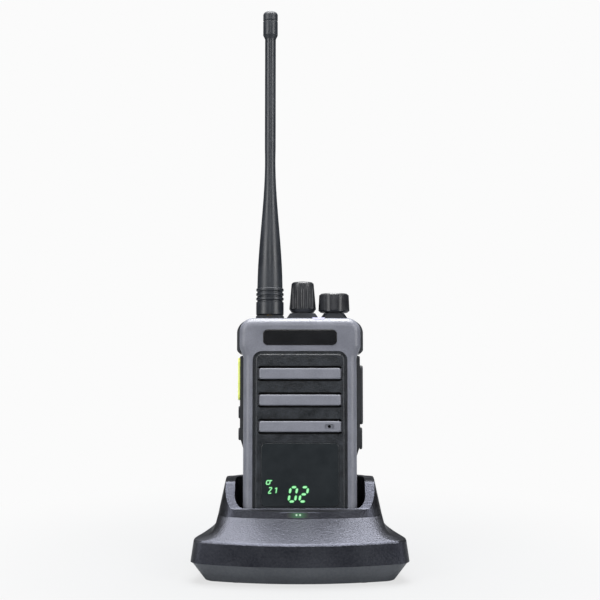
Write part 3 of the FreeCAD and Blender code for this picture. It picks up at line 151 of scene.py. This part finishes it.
# ---------------------------------------------------------------- charger feet and screws
# Four soft rubber discs are glued into recesses under the tray, beside the four plated steel screws.
def plated(name, hex_code, roughness, grain):
    """Plated metal: an even bright skin with a fine drawn grain that varies its shine."""
    material, tree, output, place = empty_material(name)
    drawn = add(tree, "ShaderNodeTexNoise", {"Vector": place, "Scale": 1 / grain, "Detail": 4.0})
    shine = add(tree, "ShaderNodeMapRange", {"Value": drawn.outputs["Fac"], "To Min": roughness - 0.1,
                                             "To Max": roughness + 0.12})
    bump = add(tree, "ShaderNodeBump", {"Height": drawn.outputs["Fac"], "Strength": 0.6,
                                        "Distance": 0.006 * MM})
    shader = add(tree, "ShaderNodeBsdfPrincipled", {
        "Base Color": colour(hex_code), "Metallic": 1.0, "Roughness": shine.outputs[0],
        "Normal": bump.outputs[0]})
    tree.links.new(shader.outputs[0], output.inputs["Surface"])
    return material


# Matt black rubber scatters light evenly; zinc plate over steel is bright and slightly blue.
foot_rubber = moulded("moulded_foot_rubber", "#1c1d1f", "#26282a", 0.75, 0.5 * MM, 0.02 * MM)
zinc_steel = plated("zinc_plated_steel", "#b9bcc0", 0.32, 0.35 * MM)
paint(foot_rubber, "charger_feet", "body_seal")
paint(zinc_steel, "charger_screws", "rear_screws", "clip_pin")


# ---------------------------------------------------------------- charger board, inlet and contacts
# A green glass-epoxy board carries the power inlet, the indicator lamp and a black nylon block.
# Two gold-plated spring pins slide in the block and press on the pads of the docked battery.
def laminate(name, hex_mask, hex_copper):
    """Solder-masked laminate: a woven glass weave of 0.6 mm under green lacquer, with copper runs
    1.4 mm apart."""
    material, tree, output, place = empty_material(name)
    runs = add(tree, "ShaderNodeTexBrick", {
        "Vector": place, "Color1": colour(hex_mask), "Color2": colour(hex_mask),
        "Mortar": colour(hex_copper), "Scale": 1.0, "Mortar Size": 0.12 * MM,
        "Brick Width": 6.5 * MM, "Row Height": 1.4 * MM})
    weave = add(tree, "ShaderNodeTexWave", {"Vector": place, "Scale": 0.3 / (0.6 * MM),
                                            "Distortion": 1.5})
    bump = add(tree, "ShaderNodeBump", {"Height": weave.outputs["Fac"], "Strength": 0.4,
                                        "Distance": 0.01 * MM})
    shader = add(tree, "ShaderNodeBsdfPrincipled", {
        "Base Color": runs.outputs["Color"], "Roughness": 0.35, "Coat Weight": 0.4,
        "Normal": bump.outputs[0]})
    tree.links.new(shader.outputs[0], output.inputs["Surface"])
    return material


# Green lacquer shines over its runs; the nylon block is dull from its glass fibres; the contacts have
# the warm mirror of hard gold, and the springs the cool one of drawn steel.
board_laminate = laminate("solder_masked_laminate", "#0f4a26", "#2f7a45")
nylon = moulded("glass_filled_nylon", "#141517", "#202225", 0.55, 0.4 * MM, 0.015 * MM)
gold_plate = plated("hard_gold_plate", "#d9b25a", 0.22, 0.5 * MM)
spring_steel = plated("drawn_spring_steel", "#9da1a6", 0.28, 0.2 * MM)
paint(board_laminate, "charger_board", "main_board")
paint(nylon, "charger_inlet", "contact_carrier", "channel_switch", "volume_control", "side_switches",
      "jack_block", "display_module")
paint(gold_plate, "contact_pin_left", "contact_pin_right", "charging_contacts", "battery_terminals")
paint(spring_steel, "contact_spring_left", "contact_spring_right", "clip_spring")


def new_piece(name, points, faces, body, material):
    """A mesh object from points in the world and their faces, riding on a body."""
    mesh = bpy.data.meshes.new(name)
    mesh.from_pydata(points.tolist(), [], faces)
    mesh.update()
    mesh.materials.append(material)
    piece = bpy.data.objects.new(name, mesh)
    bpy.context.scene.collection.objects.link(piece)
    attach(piece, body)
    return piece


def node_points(node):
    """The points of a CAD node's mesh, one row each."""
    mesh = frame["nodes"][node].data
    points = np.empty(len(mesh.vertices) * 3)
    mesh.vertices.foreach_get("co", points)
    return points.reshape(-1, 3)


def coil(points, ahead, turns, wire):
    """A round wire wound as a helix inside the tube that the points outline. Its centre line turns
    evenly about the tube's axis as it goes ahead, and the wire's section is a circle of the given
    radius, square to the turn's radius. Also gives the tube's length and the middle of its far end."""
    middle = (points.min(0) + points.max(0)) / 2
    along = (points - middle) @ ahead
    outer = np.linalg.norm(points - middle - np.outer(along, ahead), axis=1).max()
    side = np.array([1.0, 0.0, 0.0])
    up = np.cross(side, ahead)
    rows, sides = turns * 28, 8
    turn = np.linspace(0, turns * math.tau, rows)[:, None, None]
    around = (np.arange(sides) * math.tau / sides)[None, :, None]
    rise = np.linspace(along.min() + wire, along.max() - wire, rows)[:, None, None]
    radius = outer - wire + wire * np.cos(around)
    grid = (middle + (rise + wire * np.sin(around)) * ahead
            + radius * (np.cos(turn) * side + np.sin(turn) * up)).reshape(-1, 3)
    here = np.arange(rows * sides).reshape(rows, sides)
    beside = np.roll(here, -1, axis=1)
    skin = np.stack([here[:-1], beside[:-1], beside[1:], here[1:]], axis=-1).reshape(-1, 4)
    faces = skin.tolist() + [here[0, ::-1].tolist(), here[-1].tolist()]
    return grid, faces, along.max() - along.min(), middle + along.max() * ahead


COIL_TURNS = 6
COIL_WIRE_RADIUS = 0.16 * MM
for hand in ("left", "right"):
    press = next(joint for joint in frame["joints"] if joint["name"] == "contact_" + hand + "_press")
    ahead = np.array(press["axis"])
    node = "contact_spring_" + hand
    body = frame["nodes"][node]["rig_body"]
    points, faces, length, seat = coil(node_points(node), ahead, COIL_TURNS, COIL_WIRE_RADIUS)
    spring = new_piece("contact_coil_" + hand, points, faces, body, spring_steel)
    spring.data.shade_smooth()
    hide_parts(node)
    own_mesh(spring)


# ---------------------------------------------------------------- charger upper shell
# The upper shell is one ABS moulding: a spark-textured band, a ramp that sweeps up to the rim,
# and two ears that hold the radio. Its faces run into each other, so it is shaded as one skin.
def one_skin(node, angle):
    """A copy of a CAD node with its doubled points merged, smooth wherever faces meet below the
    angle."""
    source = frame["nodes"][node]
    mesh = source.data.copy()
    mesh.name = node + "_skin"
    skin = bpy.data.objects.new(node + "_skin", mesh)
    bpy.context.scene.collection.objects.link(skin)
    bpy.context.view_layer.objects.active = skin
    if mesh.has_custom_normals:
        with bpy.context.temp_override(object=skin, active_object=skin):
            bpy.ops.mesh.customdata_custom_splitnormals_clear()
    work = bmesh.new()
    work.from_mesh(mesh)
    bmesh.ops.remove_doubles(work, verts=work.verts, dist=0.002 * MM)
    for face in work.faces:
        face.smooth = True
    for edge in work.edges:
        edge.smooth = edge.is_manifold and edge.calc_face_angle(math.pi) < math.radians(angle)
    work.to_mesh(mesh)
    work.free()
    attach(skin, source["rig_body"])
    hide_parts(node)
    return skin


# Spark-textured black ABS: a deep pebble breaks its shine into fine sparkle. The shine's cool blue tint
# is painted: it stands in for the colour of the reflected light.
shell_abs = moulded("spark_textured_abs", "#060606", "#2c2d2f", 0.37, 0.9 * MM, 0.15 * MM,
                    patch=14 * MM, gloss_spread=0.05, hex_painted_gloss_tint="#dfe4ff")
SHARPEST_SMOOTH_EDGE = 24
charger_skin = one_skin("charger_upper_shell", SHARPEST_SMOOTH_EDGE)
for slot in charger_skin.material_slots:
    slot.material = shell_abs


# ---------------------------------------------------------------- charge indicator
# A clear polycarbonate pipe brings the green lamp up to a dark window in the rim.
# Two small bare spots of the window shine white, and green light spreads faintly round them.
def falling_glow(tree, place, centre, near, far, hex_glow):
    """Emission that is full up to the near distance from a centre, measured across the front, and
    gone at the far one."""
    flat = add(tree, "ShaderNodeVectorMath", {0: place, 1: (1, 0, 1)}, operation="MULTIPLY")
    middle = (centre[0], 0, centre[2])
    offset = add(tree, "ShaderNodeVectorMath", {0: flat.outputs[0], 1: middle}, operation="DISTANCE")
    fall = add(tree, "ShaderNodeMapRange", {"Value": offset.outputs["Value"], "From Min": near,
                                            "From Max": far, "To Min": 1.0, "To Max": 0.0},
               interpolation_type="SMOOTHSTEP")
    tint = add(tree, "ShaderNodeMix", {0: fall.outputs[0], 6: colour("#000000"), 7: colour(hex_glow)},
               data_type="RGBA")
    return add(tree, "ShaderNodeEmission", {"Color": tint.outputs[2], "Strength": 1.0}).outputs[0]


def glowing(name, hex_body, lights):
    """Dark tinted plastic lit from behind by lights, each a centre, near and far distance and glow."""
    material, tree, output, place = empty_material(name)
    haze = add(tree, "ShaderNodeTexNoise", {"Vector": place, "Scale": 1 / (0.6 * MM), "Detail": 2.0})
    shine = add(tree, "ShaderNodeMapRange", {"Value": haze.outputs["Fac"], "To Min": 0.25,
                                             "To Max": 0.45})
    surface = add(tree, "ShaderNodeBsdfPrincipled", {"Base Color": colour(hex_body),
                                                     "Roughness": shine.outputs[0]}).outputs[0]
    for light in lights:
        both = add(tree, "ShaderNodeAddShader", {0: surface, 1: falling_glow(tree, place, *light)})
        surface = both.outputs[0]
    tree.links.new(surface, output.inputs["Surface"])
    return material


pipe_low, pipe_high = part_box("charger_light_pipe")
spot_x = (pipe_low.x + pipe_high.x) / 2 + 0.2 * MM
spots = [(spot_x + offset * MM, pipe_low.y, pipe_high.z - 0.9 * MM) for offset in (-0.85, 0.85)]
# The window is smoked, so it looks black beside its lit spots; the lamp itself is milky green epoxy.
smoked_pipe = glowing("smoked_light_pipe", "#1a1c20",
                      [(spot, 0.2 * MM, 0.6 * MM, "#c8d8c8") for spot in spots]
                      + [(spot, 0.5 * MM, 4.5 * MM, "#1c4a2a") for spot in spots])
paint(smoked_pipe, "charger_light_pipe")
lamp_epoxy = glowing("green_lamp_epoxy", "#c8e8cc",
                     [(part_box("charger_led")[1], 1 * MM, 4 * MM, "#2ad050")])
paint(lamp_epoxy, "charger_led")


# ---------------------------------------------------------------- radio rear housing
# The back of the radio is a black polycarbonate tray, full depth at the head, screwed to the front.
# A fine spark texture all over leaves it satin, with no sharp reflection.
black_casing = moulded("fine_textured_black_polycarbonate", "#24262a", "#303338", 0.5, 0.6 * MM,
                       0.03 * MM)
paint(black_casing, "rear_housing", "battery_lid", "battery_latch", "clip_bracket")


# ---------------------------------------------------------------- radio front shell
# The front shell is a grey polycarbonate blend with a rounded brow over the badge. It closes over
# the rear housing on a rubber seal. Its fine spark texture gives a silky blue-grey shine.
shell_grey = moulded("spark_textured_grey_polycarbonate", "#63656e", "#74767f", 0.4, 0.6 * MM,
                     0.03 * MM)
paint(shell_grey, "front_shell")


# ---------------------------------------------------------------- badge and status light
# A gloss black plate, left bare, is glued into the brow. A frosted clear bar over it, pressed in from
# behind, shows transmit and receive. Gloss acrylic is deep black, with one soft reflection.
badge_black = moulded("gloss_black_plate", "#0e0f11", "#131417", 0.22, 3 * MM, 0.0008 * MM,
                      gloss_spread=0.02)
paint(badge_black, "badge_plate")


def frosted(name, hex_body, hex_glow):
    """Frosted clear plastic: light scatters inside it, so it looks milky; a faint painted glow, an
    emission, stands in for that scattered light.
    """
    material, tree, output, place = empty_material(name)
    haze = add(tree, "ShaderNodeTexNoise", {"Vector": place, "Scale": 1 / (0.8 * MM), "Detail": 2.0})
    shine = add(tree, "ShaderNodeMapRange", {"Value": haze.outputs["Fac"], "To Min": 0.3,
                                             "To Max": 0.5})
    shader = add(tree, "ShaderNodeBsdfPrincipled", {
        "Base Color": colour(hex_body), "Roughness": shine.outputs[0], "Transmission Weight": 0.25,
        "IOR": 1.58, "Emission Color": colour(hex_glow), "Emission Strength": 0.25})
    tree.links.new(shader.outputs[0], output.inputs["Surface"])
    return material


# The bar's faint lavender emission is a painted glow standing in for light scattered inside it.
paint(frosted("frosted_polycarbonate", "#dcdcf2", "#d8d4ff"), "top_light_pipe")


# ---------------------------------------------------------------- speaker and microphone
# Behind the bars, woven acoustic cloth keeps dust off a small speaker in a pressed steel basket.
# The cloth is glued to the back of the panel, and drinks nearly all light.
def woven(name, hex_warp, hex_gap, pitch):
    """Plain-woven cloth: two crossed sets of threads a pitch apart; the gaps between are darker."""
    material, tree, output, place = empty_material(name)
    across = add(tree, "ShaderNodeTexWave", {"Vector": place, "Scale": 0.3 / pitch},
                 bands_direction="X")
    along = add(tree, "ShaderNodeTexWave", {"Vector": place, "Scale": 0.3 / pitch}, bands_direction="Z")
    cross = add(tree, "ShaderNodeMath", {0: across.outputs["Fac"], 1: along.outputs["Fac"]},
                operation="MULTIPLY")
    tint = add(tree, "ShaderNodeMix", {0: cross.outputs[0], 6: colour(hex_gap), 7: colour(hex_warp)},
               data_type="RGBA")
    bump = add(tree, "ShaderNodeBump", {"Height": cross.outputs[0], "Strength": 0.8,
                                        "Distance": 0.1 * MM})
    shader = add(tree, "ShaderNodeBsdfPrincipled", {
        "Base Color": tint.outputs[2], "Roughness": 0.9, "Sheen Weight": 0.2,
        "Normal": bump.outputs[0]})
    tree.links.new(shader.outputs[0], output.inputs["Surface"])
    return material


paint(woven("black_acoustic_cloth", "#17181a", "#060607", 0.5 * MM), "grille_felt")
paint(zinc_steel, "speaker_frame", "rf_shield")
cone_film = moulded("polymer_film_cone", "#1b1c1e", "#242628", 0.5, 0.8 * MM, 0.01 * MM)
paint(cone_film, "speaker_cone", "microphone")


# ---------------------------------------------------------------- grille panel and its bars
# A satin black ABS panel is set into the shell; three grey bars stand on it. Its coarse pebble
# stays dark with a broken shine, while the nearly smooth bars catch the light evenly.
panel_black = moulded("satin_black_abs", "#0f1215", "#262a30", 0.38, 0.8 * MM, 0.14 * MM,
                      patch=4 * MM)
bar_grey = moulded("satin_grey_abs", "#6e7079", "#7a7c85", 0.4, 0.6 * MM, 0.015 * MM)
paint(panel_black, "speaker_panel")
paint(bar_grey, "grille_bar_upper", "grille_bar_middle", "grille_bar_lower")


# ---------------------------------------------------------------- display window
# A smoked acrylic window, glued into the panel, hides the display until its green segments light up
# behind it. Smooth acrylic has an even dark depth and a soft mirror.
smoked_acrylic = moulded("smoked_acrylic", "#202427", "#262a2d", 0.2, 6 * MM, 0.002 * MM,
                         gloss_spread=0.03)
paint(smoked_acrylic, "display_window")

up = Vector(next(joint["axis"] for joint in frame["joints"] if joint["name"] == "radio_lift"))
across = Vector((1, 0, 0))
back = up.cross(across)
RADIO_AXES = np.array([across, back, up])


def radio_box(node):
    """Lowest and highest corner of a node, measured along the leaning radio's own axes."""
    local = node_points(node) @ RADIO_AXES.T
    return local.min(0), local.max(0)


def segment_plates(marks, slant, spread, face_y, thick):
    """Thin six-sided plates on the leaning face. Each mark is the start and end (x, up) of a bar, its
    width and the height that the shear starts from, and all grow by the spread. The ends are cut to
    points at 45 degrees, and every plate is sheared sideways by slant times its height."""
    marks = np.array(marks)
    run = marks[:, 2:4] - marks[:, 0:2]
    ahead = run / np.linalg.norm(run, axis=1, keepdims=True)
    start, end = marks[:, 0:2] - ahead * spread, marks[:, 2:4] + ahead * spread
    width = marks[:, 4:5] + 2 * spread
    side = np.stack([-ahead[:, 1], ahead[:, 0]], axis=1)
    half = width / 2
    ring = np.stack([start, start + ahead * half + side * half, end - ahead * half + side * half,
                     end, end - ahead * half - side * half, start + ahead * half - side * half], axis=1)
    flat = ring.reshape(-1, 2)
    base = marks[:, 5].repeat(6)
    leaned = np.stack([flat[:, 0] + (flat[:, 1] - base) * slant, flat[:, 1]], axis=1)
    layers = [np.column_stack([leaned[:, 0], np.full(len(leaned), face_y - lift), leaned[:, 1]])
              for lift in (0.0, thick)]
    points = np.concatenate(layers) @ RADIO_AXES
    count = len(leaned)
    here = np.arange(count).reshape(-1, 6)
    following = np.roll(here, -1, axis=1)
    sides = np.stack([here + count, following + count, following, here], axis=-1).reshape(-1, 4)
    faces = (here[:, ::-1] + count).tolist() + here.tolist() + sides.tolist()
    return points, faces


SEGMENTS = {"a": (0, 1, 1, 1), "b": (1, 0.5, 1, 1), "c": (1, 0, 1, 0.5), "d": (0, 0, 1, 0),
            "e": (0, 0, 0, 0.5), "f": (0, 0.5, 0, 1), "g": (0, 0.5, 1, 0.5)}
DIGITS = {"0": "abcdef", "2": "abged"}
STROKES = {"1": [(0.1, 0.75, 0.6, 1), (0.6, 1, 0.6, 0)],
           "2": [(0, 1, 1, 1), (1, 0.95, 0, 0.05), (0, 0, 1, 0)],
           "ring": [(0, 0, 0, 1), (1, 1, 1, 0), (1, 0, 0, 0), (0, 1, 1.6, 1)]}


def digit_marks(bars, left, low, wide, tall, stroke, gap):
    """The lit bars of a numeral whose lower left corner is at (left, low), from bars in shares of its
    width and height. The gap is left at both ends of a bar."""
    marks = []
    for x0, z0, x1, z1 in bars:
        ends = np.array([left + wide * x0, low + tall * z0, left + wide * x1, low + tall * z1])
        ahead = (ends[2:] - ends[:2]) / np.linalg.norm(ends[2:] - ends[:2])
        ends[:2] += ahead * gap
        ends[2:] -= ahead * gap
        marks.append([*ends, stroke, low])
    return marks


def lit(name, hex_core, hex_body, strength):
    """A lit segment: an even green emission through tinted plastic, with a soft gloss of its own."""
    material, tree, output, place = empty_material(name)
    mottle = add(tree, "ShaderNodeTexNoise", {"Vector": place, "Scale": 1 / (0.9 * MM), "Detail": 1.0})
    tint = add(tree, "ShaderNodeMix", {0: mottle.outputs["Fac"], 6: colour(hex_body),
                                       7: colour(hex_core)}, data_type="RGBA")
    shader = add(tree, "ShaderNodeBsdfPrincipled", {
        "Base Color": colour("#0c2012"), "Roughness": 0.3, "Emission Color": tint.outputs[2],
        "Emission Strength": strength})
    tree.links.new(shader.outputs[0], output.inputs["Surface"])
    return material


# Sizes of the large digits, the small ones and the round mark, then how far up each row starts and
# how far from the radio's middle each numeral does.
LARGE = {"wide": 3.1 * MM, "tall": 6.7 * MM, "stroke": 1.0 * MM, "gap": 0.42 * MM}
SMALL = {"wide": 1.5 * MM, "tall": 2.6 * MM, "stroke": 0.42 * MM, "gap": 0}
ROUND = {"wide": 1.6 * MM, "tall": 1.7 * MM, "stroke": 0.42 * MM, "gap": 0}
LARGE_UP, SMALL_UP, ROUND_UP = 2.6 * MM, 6.5 * MM, 10.7 * MM
LARGE_LEFTS, SMALL_LEFTS, ROUND_LEFT = (-5.45 * MM, -0.3 * MM), (-15.1 * MM, -12.3 * MM), -16.0 * MM
SLANT = 0.16
PLATE_THICK = 0.03 * MM
EDGE_SPREAD = 0.25 * MM
window_corner = radio_box("display_window")[0]
face_y = window_corner[1] - 0.01 * MM
marks = []
for digit, left in zip("02", LARGE_LEFTS):
    bars = [SEGMENTS[segment] for segment in DIGITS[digit]]
    marks += digit_marks(bars, left, window_corner[2] + LARGE_UP, **LARGE)
for digit, left in zip("21", SMALL_LEFTS):
    marks += digit_marks(STROKES[digit], left, window_corner[2] + SMALL_UP, **SMALL)
marks += digit_marks(STROKES["ring"], ROUND_LEFT, window_corner[2] + ROUND_UP, **ROUND)
# The plates glow an even pale green, and a slightly wider layer behind them a dim green, as light that
# creeps sideways in the window does.
green_edge = lit("lit_green_edge", "#20984a", "#157a36", 0.8)
green_segments = lit("lit_green_segments", "#caffd2", "#78f590", 1.0)
for name, spread, depth, green in (("display_halo", EDGE_SPREAD, face_y, green_edge),
                                   ("display_segments", 0.0, face_y - PLATE_THICK, green_segments)):
    points, faces = segment_plates(marks, SLANT, spread, depth, PLATE_THICK)
    new_piece(name, points, faces, "radio", green)


# ---------------------------------------------------------------- top controls
# Steel shafts carry two push-on knobs of soft-touch elastomer: a tall fluted channel switch and a
# short broad volume control. The elastomer is satin; the turned shafts are bright.
knob_elastomer = moulded("soft_touch_elastomer", "#1a1b1e", "#26282c", 0.36, 0.5 * MM, 0.02 * MM)
turned_steel = plated("turned_steel", "#b4b7bb", 0.25, 0.15 * MM)
paint(knob_elastomer, "channel_knob", "volume_knob")
paint(turned_steel, "channel_shaft", "volume_shaft")


# ---------------------------------------------------------------- antenna
# The whip is a spring moulded into black polyurethane, on a brass stud that screws into a brass
# socket. Polyurethane has hardly any grain, so the whip shows long soft streaks of light.
antenna_skin = moulded("moulded_polyurethane", "#1c1f24", "#2a2e34", 0.4, 1.0 * MM, 0.006 * MM,
                       patch=20 * MM)
brass = plated("turned_brass", "#c9a25a", 0.3, 0.25 * MM)
paint(antenna_skin, "antenna_whip")
paint(brass, "antenna_stud", "antenna_socket")


# ---------------------------------------------------------------- side controls
# Black elastomer strips run down both sides, glued into the shell. The left one frames a
# yellow-green push-to-talk key and two small keys; the rubber is matt and scatters light evenly.
side_rubber = moulded("moulded_side_rubber", "#1f2125", "#292c30", 0.6, 0.5 * MM, 0.03 * MM)
ptt_rubber = moulded("yellow_green_elastomer", "#e6f070", "#f2f89a", 0.55, 0.5 * MM, 0.03 * MM)
paint(side_rubber, "left_strip", "right_strip", "side_key_upper", "side_key_lower", "jack_cover",
      "jack_cover_anchor")
paint(ptt_rubber, "ptt_button")


# ---------------------------------------------------------------- battery and belt clip
# The battery pack is textured black polycarbonate over shrink-wrapped cells, and latches to the
# back. The clip is a glass-filled moulding on a sprung pin; both are dull, the film is glossy.
battery_case = moulded("textured_battery_case", "#222428", "#2e3135", 0.56, 0.7 * MM, 0.05 * MM)
clip_nylon = moulded("glass_filled_clip_nylon", "#202225", "#2b2d31", 0.5, 0.6 * MM, 0.03 * MM)
cell_wrap = moulded("shrink_wrap_film", "#24407c", "#2f4f93", 0.3, 2 * MM, 0.01 * MM)
paint(battery_case, "battery_tray")
paint(clip_nylon, "belt_clip")
paint(cell_wrap, "battery_cells")


# ---------------------------------------------------------------- studio
# A pale floor stands under two large soft side boxes, a small box in front and an overhead panel.
# The camera sees the floor fade to a white surround; other rays see a dim one.
def staged_plane(name, half, z):
    """A square of floor at one height."""
    points = np.array([(-half, -half, z), (half, -half, z), (half, half, z), (-half, half, z)])
    mesh = bpy.data.meshes.new(name)
    mesh.from_pydata(points.tolist(), [], [(0, 1, 2, 3)])
    plane = bpy.data.objects.new(name, mesh)
    bpy.context.scene.collection.objects.link(plane)
    return plane


FLOOR_HALF = 3.0
FLOOR_GAP = 0.02 * MM
floor = staged_plane("floor", FLOOR_HALF, -FLOOR_GAP)
floor_white, tree, output, place = empty_material("white_acrylic_sheet")
sheet = add(tree, "ShaderNodeBsdfPrincipled", {"Base Color": colour("#929496"), "Roughness": 0.4,
                                               "Specular IOR Level": 0.2})
white = add(tree, "ShaderNodeEmission", {"Color": colour("#fbfbfb"), "Strength": 1.0})
reach = add(tree, "ShaderNodeVectorMath", {0: place}, operation="LENGTH")
fade = add(tree, "ShaderNodeMapRange", {"Value": reach.outputs["Value"], "From Min": 0.05,
                                        "From Max": 0.22, "To Min": 0.72, "To Max": 1.0},
           interpolation_type="SMOOTHSTEP")
seen = add(tree, "ShaderNodeLightPath", {})
share = add(tree, "ShaderNodeMath", {0: seen.outputs["Is Camera Ray"], 1: fade.outputs[0]},
            operation="MULTIPLY")
mixed = add(tree, "ShaderNodeMixShader", {0: share.outputs[0], 1: sheet.outputs[0],
                                          2: white.outputs[0]})
tree.links.new(mixed.outputs[0], output.inputs["Surface"])
floor.data.materials.append(floor_white)

world = bpy.data.worlds.new("studio_world")
world.use_nodes = True
bpy.context.scene.world = world
tree = world.node_tree
tree.nodes.clear()
output = add(tree, "ShaderNodeOutputWorld", {})
seen = add(tree, "ShaderNodeLightPath", {})
around = add(tree, "ShaderNodeBackground", {"Color": colour("#ffffff"), "Strength": 0.05})
behind = add(tree, "ShaderNodeBackground", {"Color": colour("#fbfbfb"), "Strength": 1.0})
sky = add(tree, "ShaderNodeMixShader", {0: seen.outputs["Is Camera Ray"], 1: around.outputs[0],
                                        2: behind.outputs[0]})
tree.links.new(sky.outputs[0], output.inputs["Surface"])


def soft_box(name, place, target, width, height, watts):
    """A rectangular area lamp that faces a point; sizes in metres."""
    lamp = bpy.data.lights.new(name, "AREA")
    lamp.shape = "RECTANGLE"
    lamp.size = width
    lamp.size_y = height
    lamp.energy = watts
    box = bpy.data.objects.new(name, lamp)
    box.location = place
    box.rotation_euler = (Vector(target) - Vector(place)).to_track_quat("-Z", "Y").to_euler()
    bpy.context.scene.collection.objects.link(box)


MIDDLE = (0, 0, 0.14)
CHARGER_DECK = (0, -0.02, 0.04)
soft_box("left_box", (-0.70, -0.48, 0.42), MIDDLE, width=0.35, height=0.7, watts=5.2)
soft_box("right_box", (0.70, -0.48, 0.42), MIDDLE, width=0.35, height=0.7, watts=5.0)
soft_box("front_box", (0, -0.90, 0.58), MIDDLE, width=0.22, height=0.18, watts=1.2)
soft_box("overhead_panel", (0, 0.14, 0.86), CHARGER_DECK, width=0.7, height=0.6, watts=22.0)

SENSOR_MM = 36
LENS_MM = 78
CAMERA_DISTANCE = 0.6255
CAMERA_HEIGHT = 0.1618
CAMERA_TILT = 87
camera_data = bpy.data.cameras.new("camera")
camera_data.sensor_width = SENSOR_MM
camera_data.lens = LENS_MM
camera = bpy.data.objects.new("camera", camera_data)
camera.location = (0, -CAMERA_DISTANCE, CAMERA_HEIGHT)
camera.rotation_euler = (math.radians(CAMERA_TILT), 0, 0)
bpy.context.scene.collection.objects.link(camera)
bpy.context.scene.camera = camera
bpy.context.scene.view_settings.view_transform = "Standard"
